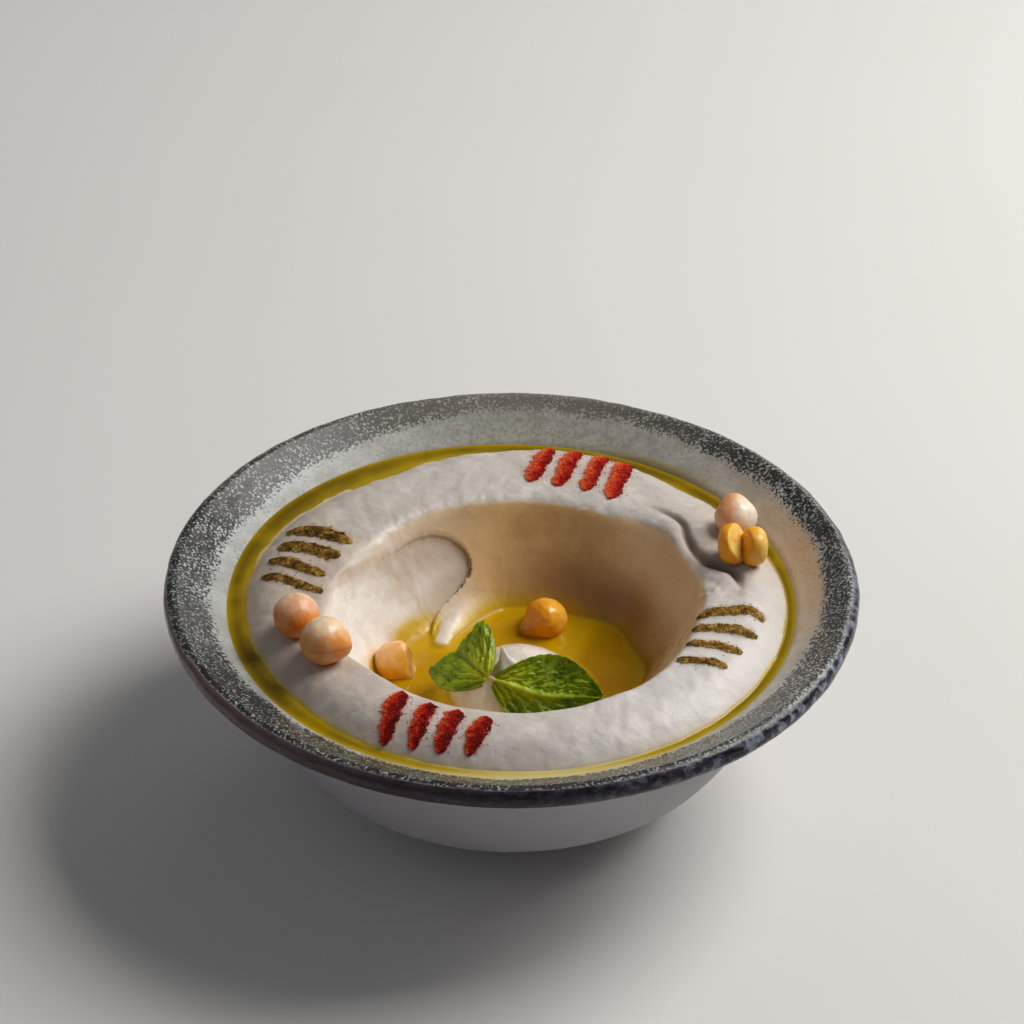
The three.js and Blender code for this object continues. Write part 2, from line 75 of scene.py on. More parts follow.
# Dents and swellings of the well's edge: angle, half width in degrees, and depth.
EDGE_WAVES = (
    (41, 13, 2.6), (62, 12, -0.3), (9, 11, 1.7), (-24, 20, -1.3), (-62, 20, -1.5), (-100, 20, -0.8),
    (152, 16, -0.6),
)
WELL_FLOOR_Z = POOL_Z - 3.2
MOUND_X, MOUND_Y, MOUND_HEIGHT = 2.0, -8.5, 13.5
MOUND_SIDE, MOUND_LEFT, MOUND_BACK, MOUND_FRONT, MOUND_FRONT_LEFT = 21.0, 22.5, 15.5, 15.0, 27.0

# The last scoop of the spoon: its edge on the left wall, then the way round its open side.
SCOOP = (
    (-50, -13), (-46.6, -5.5), (-43.6, 1.5), (-40.2, 7.6), (-36.6, 13), (-31, 20.3), (-25.5, 26),
    (-20.5, 29.1), (-15.5, 30.4), (-11.9, 29.3), (-11.1, 27.1), (-13.4, 24), (-17.4, 19.6), (-19.8, 16),
    (-20.9, 12), (-20.5, 8.3), (-18, 4), (-17, -8), (-22, -30), (-44, -44), (-60, -34),
)
TONGUE = ((-18, 8.4), (-16.9, 12.5), (-15, 17.5), (-12.8, 22.5), (-10.5, 27))
# A low bank of paste that parts the oil behind the mound, and a crease on the mound's front.
BANK = ((10, -2), (14, 5), (17, 13), (20, 21), (22.5, 28))
CREASE = ((-4.8, -17.4), (-6.0, -19.6), (-7.6, -23.0))
# Where the paste is wettest, on the last scoop, and where it is torn, below the fold.
WET_PLACE = (-27, 18)
TORN_PLACE = (50.5, -0.5)
FOLD = (
    (33, 36.2), (40.5, 32), (44.6, 27.4), (45.6, 21), (47.4, 15.4), (50.2, 11), (53.6, 8.2), (56.6, 6.0),
    (58.0, 2.0), (58.0, -4.5),
)

FOLD_WIDEST = 0.68  # share of its length where the fold gapes most

# Stripes of spice, each along its middle from end to end, with its width.
RED_STRIPES = (
    (((10.4, 63.4), (7.4, 55), (4.7, 46.4)), 4.8),
    (((17.8, 63.6), (14.8, 54), (11.9, 44.4)), 4.8),
    (((25.2, 62.6), (22.3, 53), (19.2, 41.8)), 4.7),
    (((31.3, 60.6), (29, 51), (25.8, 38.2)), 5.0),
    (((-26.0, -45.8), (-28.3, -53.4), (-30.1, -61.6)), 5.6),
    (((-19.2, -50.2), (-21.4, -57), (-23.3, -63.8)), 5.2),
    (((-12.4, -53.0), (-14.8, -59.4), (-16.9, -65.7)), 5.2),
    (((-5.4, -55.6), (-7.8, -61.4), (-9.9, -66.8)), 5.3),
)
BROWN_STRIPES = (
    (((-58.6, 23.2), (-49.7, 20.4), (-41.2, 16.2)), 4.6),
    (((-60.4, 16.4), (-52.4, 13.2), (-44.0, 9.6)), 4.8),
    (((-62.2, 10.0), (-55.4, 6.2), (-47.4, 2.2)), 3.6),
    (((-63.8, 3.4), (-56, -0.4), (-47.6, -4.8)), 2.9),
    (((46.6, -12.4), (54, -11.8), (60.2, -11.4), (63.4, -14.2)), 3.9),
    (((45.2, -17.6), (52.3, -19), (56.9, -19.8), (61.2, -21.4)), 3.3),
    (((43.4, -24.6), (50.2, -25.8), (57.0, -28.7)), 3.1),
    (((40.8, -31.6), (47.4, -32.8), (53.0, -34.8)), 3.0),
)

# ---- Numbers and curves ----


def ease(low, high, x):
    """0 below low and 1 above high, with a smooth step between them."""
    t = np.clip((x - low) / (high - low), 0, 1)
    return t * t * (3 - 2 * t)


def bell(distance, width):
    return np.exp(-((distance / width) ** 2))


def soft_max(a, b, blend):
    return (a + b + np.sqrt((a - b) ** 2 + blend * blend)) / 2


def facing(turn, at, width):
    """1 where an angle in degrees is the given one, fading over a width on both sides."""
    return bell((turn - at + 180) % 360 - 180, width)


def spot(x, y, at, width):
    return bell(np.hypot(x - at[0], y - at[1]), width)


def turn_of(x, y):
    """The angle of a place in degrees from +X."""
    return np.degrees(np.arctan2(y, x))


def angles_round(sides):
    return np.linspace(0, 2 * np.pi, sides, endpoint=False)


def curve_through(points, steps, closed=False):
    """Points on a smooth curve through the given ones, with as many steps between each two."""
    points = np.asarray(points, float)
    count = len(points)
    found = []
    for i in range(count if closed else count - 1):
        if closed:
            p0, p1, p2, p3 = (points[(i + k) % count] for k in (-1, 0, 1, 2))
        else:
            p1, p2 = points[i], points[i + 1]
            p0 = points[i - 1] if i > 0 else 2 * p1 - p2
            p3 = points[i + 2] if i + 2 < count else 2 * p2 - p1
        for k in range(steps):
            t = k / steps
            bend = (-p0 + p2) * t + (2 * p0 - 5 * p1 + 4 * p2 - p3) * t * t
            found.append((2 * p1 + bend + (-p0 + 3 * p1 - 3 * p2 + p3) * t**3) / 2)
    if not closed:
        found.append(points[-1])
    return np.array(found)


def step_lengths(line):
    return np.hypot(*np.diff(line, axis=0).T)


def run_along(line):
    """The length of a drawn line up to each of its points."""
    return np.concatenate(([0], np.cumsum(step_lengths(line))))


def radius_from_table(table, degrees):
    """Radius at an angle, smooth through rows of (degrees, radius) that go once round."""
    angles = np.array([row[0] for row in table], float)
    radii = np.array([row[1] for row in table], float)
    angles = np.concatenate((angles[-2:] - 360, angles, angles[:2] + 360))
    radii = np.concatenate((radii[-2:], radii, radii[:2]))
    slopes = np.gradient(radii, angles)
    slopes[1:-1] = (radii[2:] - radii[:-2]) / (angles[2:] - angles[:-2])
    turn = (degrees - table[0][0]) % 360 + table[0][0]
    k = np.clip(np.searchsorted(angles, turn, side="right") - 1, 1, len(angles) - 3)
    span = angles[k + 1] - angles[k]
    t = (turn - angles[k]) / span
    blend = t * t * (3 - 2 * t)
    rise = t * (1 - t) * ((1 - t) * slopes[k] - t * slopes[k + 1]) * span
    return radii[k] + (radii[k + 1] - radii[k]) * blend + rise


def nearest_on_line(x, y, line):
    """Distance to a drawn line, the share of its length at the nearest point, and on which side it is."""
    lengths = step_lengths(line)
    distance = np.full(np.shape(x), 1e9)
    share = np.zeros(np.shape(x))
    left = np.zeros(np.shape(x), bool)
    for i, length in enumerate(lengths):
        (ax, ay), (ex, ey) = line[i], line[i + 1] - line[i]
        t = np.clip(((x - ax) * ex + (y - ay) * ey) / (ex * ex + ey * ey), 0, 1)
        d = np.hypot(x - ax - t * ex, y - ay - t * ey)
        nearer = d < distance
        distance = np.where(nearer, d, distance)
        share = np.where(nearer, (lengths[:i].sum() + t * length) / lengths.sum(), share)
        left = np.where(nearer, (x - ax) * ey - (y - ay) * ex < 0, left)
    return distance, share, left


def depth_inside(x, y, outline):
    """Distance to a closed outline, positive inside it."""
    inside = np.zeros(np.shape(x), bool)
    for (ax, ay), (bx, by) in zip(outline, np.roll(outline, -1, axis=0)):
        crosses = ((ay > y) != (by > y)) & (x < (bx - ax) * (y - ay) / (by - ay + 1e-12) + ax)
        inside ^= crosses
    distance = nearest_on_line(x, y, np.vstack((outline, outline[:1])))[0]
    return np.where(inside, distance, -distance)


def value_noise(x, y, z, cell, seed):
    """Smooth random values from -1 to 1, on a lattice of the given cell size."""
    size = 32
    table = np.random.default_rng(seed).uniform(-1, 1, (size, size, size))
    place = np.stack(np.broadcast_arrays(x, y, z), -1) / cell
    base = np.floor(place).astype(int)
    part = place - base
    part = part * part * (3 - 2 * part)
    total = 0
    for corner in range(8):
        step = np.array([corner & 1, corner >> 1 & 1, corner >> 2 & 1])
        weight = np.prod(np.where(step, part, 1 - part), axis=-1)
        i, j, k = np.moveaxis((base + step) % size, -1, 0)
        total = total + weight * table[i, j, k]
    return total


def rough(place, *layers):
    """A sum of smooth random values, each with its height, cell size and seed."""
    return sum(height * value_noise(*place, cell, seed) for height, cell, seed in layers)


# ---- The form of the hummus ----

SCOOP_LINE = curve_through(SCOOP, 4, True)
SCOOP_EDGE = curve_through(SCOOP[:17], 4)  # the part of it that shows
TONGUE_LINE = curve_through(TONGUE, 4)
FOLD_LINE = curve_through(FOLD, 4)
BANK_LINE = curve_through(BANK, 4)
CREASE_LINE = curve_through(CREASE, 4)


def well_place(x, y):
    """Distance and angle in degrees from the well's middle."""
    return np.hypot(x - WELL_X, y - WELL_Y), turn_of(x - WELL_X, y - WELL_Y)


def well_edge(degrees):
    """Radius of the well's edge."""
    radius = WELL_RADIUS
    for at, width, depth in EDGE_WAVES:
        radius = radius + depth * facing(degrees, at, width)
    return radius


def hummus_radius(x, y):
    """Radius of the paste's outline in the direction of a place."""
    return radius_from_table(OUTLINE, turn_of(x, y))


def ring_drop(x, y):
    """How far the ring falls off towards the bowl, over its shoulder and then under the oil."""
    radius = np.hypot(x, y)
    outline = hummus_radius(x, y)
    shoulder = np.clip((radius - outline + SHOULDER) / SHOULDER, 0, 1)
    under = np.clip((radius - outline) / (CONTACT_RADIUS - outline), 0, 1)
    return (RING_Z - OIL_RING_Z) * shoulder**2.4 + (OIL_RING_Z - CONTACT_Z) * under


def scoop_depth(x, y):
    """Distance to the ragged edge of the last scoop, positive inside it."""
    ragged = 0.08 + 0.22 * ease(-20, -14, x)
    return depth_inside(x, y, SCOOP_LINE) + ragged * value_noise(x, y, 0, 1.5, 11)


def scoop_shift(x, y, distance, degrees):
    """How far the last scoop pushed the wall outwards. Its edge is crisp except at the far left."""
    turn = degrees % 360
    soft = 6 * ease(9, -6, y) * ease(-34, -40, x)
    scooped = ease(-0.3 - soft, 0.3 + soft, scoop_depth(x, y))
    depth = np.clip(0.9 + 0.09 * (44 - distance), 0.6, 1.9)
    left = ease(136, 170, turn) * (1 - ease(192, 222, turn))
    return scooped * (depth + 3.4 * left) * (1 - ease(205, 235, turn))


def fold_relief(x, y):
    """The groove of the fold, the raised paste on both sides of it, and the torn place below it."""
    distance, share, left = nearest_on_line(x, y, FOLD_LINE)
    fade = ease(0, 0.25, share) * (1 - ease(0.8, 1, share))
    groove = (1.2 + 1.0 * share) * bell(distance, 0.85 + 0.9 * bell(share - FOLD_WIDEST, 0.14))
    lobe = 0.5 * ease(0.2, 0.5, share) * bell(distance - 4.0, 2.6)
    lip = 0.7 * bell(distance - 3.4, 2.2)
    torn = 0.5 * value_noise(x, y, 0, 1.4, 13) * spot(x, y, TORN_PLACE, 5)
    return fade * (np.where(left, lobe, lip) - groove) + torn


def fold_shade(x, y):
    """How much painted shade darkens the paste in the groove of the fold."""
    distance, share, _ = nearest_on_line(x, y, FOLD_LINE)
    width = 1.2 + 1.4 * bell(share - FOLD_WIDEST, 0.16)
    return bell(distance, width) * ease(0, 0.3, share) * (1 - 0.7 * ease(0.75, 0.9, share))


def mound_height(x, y):
    """Height of the mound in the well's middle over the well's floor."""
    to_front = MOUND_FRONT + (MOUND_FRONT_LEFT - MOUND_FRONT) * ease(8, -8, x)
    depth = np.where(y > MOUND_Y, MOUND_BACK, to_front)
    side = MOUND_SIDE + (MOUND_LEFT - MOUND_SIDE) * ease(2, -10, x) * ease(-6, -14, y)
    q = ((x - MOUND_X) / side) ** 2 + ((y - MOUND_Y) / depth) ** 2
    return MOUND_HEIGHT * np.clip(1 - q, 0, 1) ** 1.15


def outside_well(x, y):
    """Distance from the well's edge, negative inside it, as the last scoop left it."""
    distance, degrees = well_place(x, y)
    return distance - scoop_shift(x, y, distance, degrees) - well_edge(degrees)


def hummus_form(x, y):
    """Height of the top of the hummus at any place in the bowl, without its finer relief."""
    outside = outside_well(x, y)
    fall = WALL_SLOPE * (np.sqrt(outside**2 + EDGE_ROUND**2) - outside) / 2
    wall = RING_Z - fall - ring_drop(x, y) + fold_relief(x, y)
    floor = WELL_FLOOR_Z + 0.0027 * np.clip(well_place(x, y)[0] - 22, 0, None) ** 2
    gentle = ease(0, -14, x) * ease(-8, 10, y)
    z = soft_max(wall, floor + mound_height(x, y), 1.6 + 6.4 * gentle)
    away, share, _ = nearest_on_line(x, y, TONGUE_LINE)
    crest = POOL_Z + 1.4 + 3.8 * share**1.5 - (0.17 - 0.08 * share) * away**2
    z = np.where(away < 9, soft_max(z, crest, 0.7 + 1.5 * share), z)
    away, share, _ = nearest_on_line(x, y, BANK_LINE)
    crest = POOL_Z - 1.0 + 0.8 * (1 - share) ** 2 + 0.8 * share**2 - 0.09 * away**2
    z = np.where(away < 12, soft_max(z, crest, 1.2), z)
    away, share, _ = nearest_on_line(x, y, CREASE_LINE)
    return z - 0.6 * bell(away, 0.8) * np.sin(np.pi * np.clip(share, 0.02, 0.98))


def in_well(x, y):
    """1 in the well and 0 on the ring round it, with an edge that is crisp but at the left."""
    soft = 0.4 + 0.6 * facing(well_place(x, y)[1], 175, 50)
    return ease(soft, -soft, outside_well(x, y) + 0.25 * value_noise(x, y, 0, 2.2, 12))


def hummus_relief(x, y):
    """Soft lumps on the ring, and the streaks that the spoon left round the well."""
    distance, degrees = well_place(x, y)
    on_ring = 1 - in_well(x, y)
    lumps = rough((x, y, 0), (0.34, 11, 1), (0.2, 4.5, 2))
    pits = rough((x, y, 0), (0.09, 2.2, 3), (0.04, 1.0, 6))
    swirl = np.radians(degrees) * 30
    streaks = value_noise(distance, swirl / 9, 0, 1.7, 4) + 0.6 * value_noise(distance, swirl / 5, 0, 0.8, 5)
    strokes = 0.09 * value_noise(distance / 3.5, 2 * swirl + 0.7 * distance, 0, 2.2, 8)
    strokes += 0.03 * value_noise(distance / 3, 2 * swirl + 0.7 * distance, 0, 1.1, 9)
    dents = value_noise(x, y, 0, 3.0, 7) + 0.5 * value_noise(x, y, 0, 1.4, 10)
    dents *= spot(x, y, WET_PLACE, 7)
    smooth = 0.35 * lumps + 0.06 * streaks + 0.55 * dents
    return on_ring * (lumps + pits + strokes) + (1 - on_ring) * smooth


def hummus_top(x, y):
    return hummus_form(x, y) + hummus_relief(x, y)


# ---- Meshes ----


def add_marks(piece, marks):
    """Gives the points of a piece named numbers, which its material reads."""
    for mark, values in marks.items():
        values = np.broadcast_to(values, len(piece.data.vertices)).astype(np.float32)
        piece.data.attributes.new(mark, "FLOAT", "POINT").data.foreach_set("value", values)


def point_values(piece, kind):
    """The place ("co") or normal ("normal") of each point, as three rows."""
    values = np.empty(len(piece.data.vertices) * 3)
    piece.data.vertices.foreach_get(kind, values)
    return values.reshape(-1, 3).T


def stack_points(x, y, z):
    return np.stack((x, y, z), -1).reshape(-1, 3)


def make_mesh(name, points, faces, marks=None):
    """An object from points in millimetres."""
    mesh = bpy.data.meshes.new(name)
    points = np.asarray(points, float).reshape(-1, 3)
    faces = np.asarray(faces, np.int32)
    mesh.vertices.add(len(points))
    mesh.vertices.foreach_set("co", (points * MM).ravel())
    mesh.loops.add(faces.size)
    mesh.loops.foreach_set("vertex_index", faces.ravel())
    mesh.polygons.add(len(faces))
    mesh.polygons.foreach_set("loop_start", np.arange(len(faces)) * faces.shape[1])
    mesh.update(calc_edges=True)
    mesh.validate()
    mesh.polygons.foreach_set("use_smooth", np.ones(len(mesh.polygons), bool))
    piece = bpy.data.objects.new(name, mesh)
    add_marks(piece, marks or {})
    bpy.context.scene.collection.objects.link(piece)
    return piece


def dress(piece, material, slot, *nodes):
    """Gives a piece its material, hangs it under the root body and hides the CAD parts it replaces. slot is
    not used.
    """
    piece.data.materials.append(material)
    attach(piece, "root")
    if nodes:
        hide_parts(*nodes)


def grid_faces(rows, columns, wrap_columns=False, first=0):
    """Quads of a grid of points that runs row by row. With rows going down and columns going
    anticlockwise seen from above, they face up."""
    across = columns if wrap_columns else columns - 1
    i, j = np.meshgrid(np.arange(rows - 1), np.arange(across), indexing="ij")
    next_j = (j + 1) % columns
    quads = (i * columns + j, (i + 1) * columns + j, (i + 1) * columns + next_j, i * columns + next_j)
    return first + np.stack(quads, -1).reshape(-1, 4)


def turned_mesh(name, radii, heights, sides, shape):
    """A closed skin of rings round +Z, given its shape by a function of x, y and z. The first and the
    last ring have no radius."""
    angles = angles_round(sides)
    radius = np.repeat(np.asarray(radii, float)[:, None], sides, axis=1)
    x, y = radius * np.cos(angles), radius * np.sin(angles)
    z = np.repeat(np.asarray(heights, float)[:, None], sides, axis=1)
    piece = make_mesh(name, stack_points(*shape(x, y, z)), grid_faces(len(radii), sides, True))
    merge_ends(piece, len(radii), sides)
    return piece


def merge_ends(piece, rows, sides, shells=1):
    """Closes both ends of each turned skin in a mesh, whose end rings lie at one point each."""
    work = bmesh.new()
    work.from_mesh(piece.data)
    work.verts.ensure_lookup_table()
    ends = []
    for ring in (row for shell in range(shells) for row in (shell * rows, (shell + 1) * rows - 1)):
        ends += [work.verts[ring * sides + k] for k in range(sides)]
    bmesh.ops.remove_doubles(work, verts=ends, dist=1e-7)
    work.to_mesh(piece.data)
    work.free()


# ---- Materials ----


class Material:
    """A node material with one Principled shader, and short ways to add nodes to it."""

    def __init__(self, name, **sockets):
        self.data = bpy.data.materials.new(name)
        self.data.use_nodes = True
        self.tree = self.data.node_tree
        self.shader = self.tree.nodes["Principled BSDF"]
        for socket, value in sockets.items():
            self.shader.inputs[socket.replace("_", " ")].default_value = value

    def node(self, kind, inputs=None, **settings):
        node = self.tree.nodes.new(kind)
        for setting, value in settings.items():
            setattr(node, setting, value)
        for socket, value in (inputs or {}).items():
            self.put(node.inputs[socket], value)
        return node

    def put(self, socket, value):
        if isinstance(value, bpy.types.NodeSocket):
            self.tree.links.new(value, socket)
        else:
            socket.default_value = value

    def set(self, socket, value):
        self.put(self.shader.inputs[socket], value)

    def mark(self, name):
        return self.node("ShaderNodeAttribute", attribute_name=name).outputs["Fac"]

    def noise(self, cell, detail=2.0, roughness=0.5, stretch=None):
        """Noise from 0 to 1 whose largest blobs are about cell millimetres across."""
        place = self.node("ShaderNodeTexCoord").outputs["Object"]
        if stretch:
            place = self.node("ShaderNodeMapping", {"Vector": place, "Scale": stretch}).outputs[0]
        sockets = {"Vector": place, "Scale": 1 / (cell * MM), "Detail": detail, "Roughness": roughness}
        return self.node("ShaderNodeTexNoise", sockets).outputs["Fac"]

    def ramp(self, value, *stops):
        """A colour ramp from (place, colour) stops."""
        node = self.node("ShaderNodeValToRGB", {"Fac": value})
        elements = node.color_ramp.elements
        while len(elements) < len(stops):
            elements.new(0.5)
        for element, (at, colour) in zip(elements, stops):
            element.position = at
            element.color = linear(colour)
        return node.outputs["Color"]

    def remap(self, value, low, high, to_low=0.0, to_high=1.0, kind="SMOOTHSTEP"):
        sockets = {"Value": value, "From Min": low, "From Max": high, "To Min": to_low, "To Max": to_high}
        return self.node("ShaderNodeMapRange", sockets, interpolation_type=kind).outputs[0]

    def math(self, operation, a, b=0.0, clamp=False):
        node = self.node("ShaderNodeMath", operation=operation, use_clamp=clamp)
        self.put(node.inputs[0], a)
        self.put(node.inputs[1], b)
        return node.outputs[0]

    def times(self, a, b):
        return self.math("MULTIPLY", a, b)

    def plus(self, a, b):
        return self.math("ADD", a, b)

    def mix(self, share, a, b):
        node = self.node("ShaderNodeMix", data_type="RGBA")
        for socket, value in ((0, share), (6, linear(a)), (7, linear(b))):
            self.put(node.inputs[socket], value)
        return node.outputs[2]

    def tint(self, colour, *layers):
        """A colour with others laid over it: each by its mark, how strongly, and the colour."""
        for mark, strength, over in layers:
            cover = self.mark(mark)
            colour = self.mix(cover if strength == 1 else self.times(cover, strength), colour, over)
        return colour

    def bump(self, height, strength, distance, under=None):
        sockets = {"Height": height, "Strength": strength, "Distance": distance * MM}
        if under is not None:
            sockets["Normal"] = under
        return self.node("ShaderNodeBump", sockets).outputs["Normal"]


def linear(colour):
    """A colour of 0 to 255 sRGB values as linear light. A socket or a linear grey stays as it is."""
    if isinstance(colour, bpy.types.NodeSocket):
        return colour
    if isinstance(colour, float):
        return (colour, colour, colour, 1)
    values = (c / 255 for c in colour)
    return (*(c / 12.92 if c <= 0.04045 else ((c + 0.055) / 1.055) ** 2.4 for c in values), 1)


# ---- Camera, floor and light ----

CAMERA_DISTANCE = 0.7608
CAMERA_ELEVATION = 35.30
CAMERA_PITCH = 1.16
CAMERA_ROLL = 0.48
FOCAL_PIXELS = 3000
PHOTO_SIDE = 1024
SENSOR = 36.0
FLOOR_SIDE = 3000
SKY_COLOUR, SKY_STRENGTH = (0.86, 0.89, 0.94, 1), 0.125
# Each lamp: the way to it, its distance and size in metres, its power and its colour.
LAMPS = {
    "key_light": ((0.62, 0.27, 0.74), 1.2, 0.7, 14.5, (1.0, 0.98, 0.95)),
    "back_light": ((0.48, 0.82, 0.27), 1.5, 0.7, 2, (1.0, 0.98, 0.96)),
    "left_fill": ((-0.8, -0.3, 0.6), 1.6, 1.2, 1.25, (0.95, 0.96, 1.0)),
}


def make_camera():
    """The camera that was fitted to the ellipses of the photo's rim and foot."""
    data = bpy.data.cameras.new("camera")
    data.sensor_width = SENSOR
    data.lens = SENSOR * FOCAL_PIXELS / PHOTO_SIDE
    data.clip_start, data.clip_end = 0.01, 20
    camera = bpy.data.objects.new("camera", data)
    bpy.context.scene.collection.objects.link(camera)
    elevation = math.radians(CAMERA_ELEVATION)
    back = Vector((0, -math.cos(elevation), math.sin(elevation)))
    tilt = math.radians(90 - CAMERA_ELEVATION + CAMERA_PITCH)
    turn = Matrix.Rotation(tilt, 4, "X") @ Matrix.Rotation(math.radians(CAMERA_ROLL), 4, "Z")
    camera.matrix_world = Matrix.Translation(back * CAMERA_DISTANCE + Vector((0, 0, RIM_Z * MM))) @ turn
    bpy.context.scene.camera = camera


def make_floor():
    paint = Material("floor_paint", Roughness=0.8)
    paint.set("Base Color", paint.mix(paint.noise(180), (226, 224, 220), (232, 230, 227)))
    corners = [(a * FLOOR_SIDE, b * FLOOR_SIDE, 0) for a, b in ((-1, -1), (1, -1), (1, 1), (-1, 1))]
    floor = make_mesh("floor", corners, [(0, 1, 2, 3)])
    floor.data.materials.append(paint.data)


def soft_box(name, towards, distance, size, power, colour):
    """A square lamp that shines on the bowl from a direction."""
    data = bpy.data.lights.new(name, "AREA")
    data.shape = "SQUARE"
    data.size = size
    data.energy = power
    data.color = colour
    lamp = bpy.data.objects.new(name, data)
    bpy.context.scene.collection.objects.link(lamp)
    way = Vector(towards).normalized()
    lamp.location = way * distance + Vector((0, 0, RIM_Z * MM))
    lamp.rotation_euler = way.to_track_quat("Z", "Y").to_euler()


def make_light():
    for name, settings in LAMPS.items():
        soft_box(name, *settings)
    world = bpy.data.worlds.new("studio")
    bpy.context.scene.world = world
    world.use_nodes = True
    sky = world.node_tree.nodes["Background"]
    sky.inputs["Color"].default_value = SKY_COLOUR
    sky.inputs["Strength"].default_value = SKY_STRENGTH
    bpy.context.scene.view_settings.view_transform = "Standard"


# ---- Bowl ----

# The bowl's section from the middle inside, over the lip, and down to the foot.
INNER_SECTION = (
    (0, 8.1), (12, 8.2), (22, 8.7), (30, 9.6), (38, 11.2), (45, 13.2), (50.5, 16.4), (55.4, 20.6),
    (58.9, 25), (62, 29.8), (64.7, 35.2), (67, 40.6), (68.6, 44), (69.8, 47), (OIL_RING_RADIUS, 51.5),
    (75.2, 53.3), (78.2, 55.2), (81.0, 57.1), (82.9, 58.3),
)
LIP_SECTION = ((84.0, 59.1), (84.7, 59.6), (85.3, 59.92), (85.8, 59.97), (86.15, 59.74), (86.4, 59.5))
BAND_SECTION = (
    (86.9, 59.36), (87.6, 58.8), (88.0, 57.9), (88.1, 56.8), (87.85, 55.8), (87.3, 54.9), (86.4, 54.4),
)
OUTER_SECTION = (
    (83, 53.5), (79.5, 52.4), (76.4, 50.9), (74.6, 49.4), (73.4, 46.9), (71.9, 43.2), (69.4, 37.5),
    (66.9, 31.6), (64.1, 25.8), (60.4, 19.6), (57.7, 16.4), (54.5, 13.6), (51.4, 11.2), (47.9, 8.6),
    (43.6, 6.2), (40.2, 4.5), (39.0, 3.4),
)
FOOT_SECTION = (
    (38.3, 1.4), (37.9, 0.3), (37.2, 0.0), (35, 0.0), (33.2, 0.0), (32.6, 0.4), (31.2, 2.4), (29.5, 2.9),
    (15, 2.9), (0, 2.9),
)
# The radius where the lip's speckles begin, by angle.
LIP_START = (
    (-150, 75.0), (-120, 73.6), (-90, 73.2), (-60, 73.6), (-30, 76.4), (0, 79.4), (35, 80.0), (90, 80.6),
    (125, 77.6), (155, 76.2), (180, 76.6),
)
BOWL_SIDES, BOWL_SPACING = 330, 0.8


def section_points(*sections, spacing):
    """The section as evenly spaced radii and heights."""
    line = curve_through([point for section in sections for point in section], 8)
    run = run_along(line)
    even = np.linspace(0, run[-1], int(run[-1] / spacing))
    return np.interp(even, run, line[:, 0]), np.maximum(np.interp(even, run, line[:, 1]), 0)


def bowl_marks(bowl):
    """Which glaze each place has: the speckled lip, the dark band round it, and the pale body, with the
    places where the lip is faint or stained by oil. It also marks a painted warm reflection of the paste on
    the right slope, a painted silvery highlight at the back left and a painted sheen at the front right."""
    x, y, z = point_values(bowl, "co") / MM
    normal = point_values(bowl, "normal")
    radius = np.hypot(x, y)
    turn = turn_of(x, y)
    outward = (normal[0] * x + normal[1] * y) / np.maximum(radius, 1)
    inside = (outward < 0.1) & (z > 8)
    start = radius_from_table(LIP_START, turn) + 0.9 * value_noise(x, y, z, 9, 41)
    # The dark band begins at the lip's top in front, and below its widest place at the left.
    edge = 86.2 + 1.5 * facing(turn, 152, 55) + 0.2 * value_noise(x, y, 0, 5, 44)
    band = ease(edge - 0.2, edge + 0.15, radius + 4 * np.clip(57.4 - z, 0, 1))
    drip = z + rough((x, y, 0), (0.45, 6, 45), (0.25, 2.4, 46))
    speckled = np.where(inside, ease(start - 1.6, start + 2.2, radius), 0)
    add_marks(bowl, {
        "lip": np.where(radius > 85.6, 1 - band, speckled),
        "faint": facing(turn, 88, 36),
        # A painted warm reflection of the paste on the slope at the right.
        "paste_reflection": facing(turn, 9, 30) * inside,
        # A painted silvery highlight on the mid-slope at the back left.
        "painted_silver_highlight": facing(turn, 150, 28) * bell(radius - 78.5, 3.2) * inside,
        "stain": facing(turn, 56, 17) * ease(75.6, 72.8, radius) * inside,
        "left": facing(turn, -160, 40),
        # A painted sheen on the lip and band at the front right.
        "painted_sheen": facing(turn, -28, 36),
        "front": facing(turn, -98, 50),
        "band": np.where(inside, 0, band * ease(53.4, 54.0, drip)),
        "body": np.where(inside, 0, ease(53.8, 53.2, drip)),
    })


def by_hand(x, y, z):
    """The slight unevenness of a bowl thrown by hand, and of the thick glaze round its lip."""
    turn = np.arctan2(y, x)
    share = np.clip(z / RIM_Z, 0, 1) ** 2
    wave = 0.12 * np.sin(2 * turn + 0.6) + 0.07 * np.sin(5 * turn + 2.1) + 0.05 * np.sin(9 * turn)
    glaze = rough((x, y, z), (0.2, 7, 42), (0.12, 3, 43))
    glaze = glaze * ease(84, 87, np.hypot(x, y))
    out = 1 + share * 0.0012 * np.sin(3 * turn + 1.2) - share * 0.0016 + glaze / RIM_RADIUS
    return x * out, y * out, z + share * wave * 0.8 + 0.5 * glaze


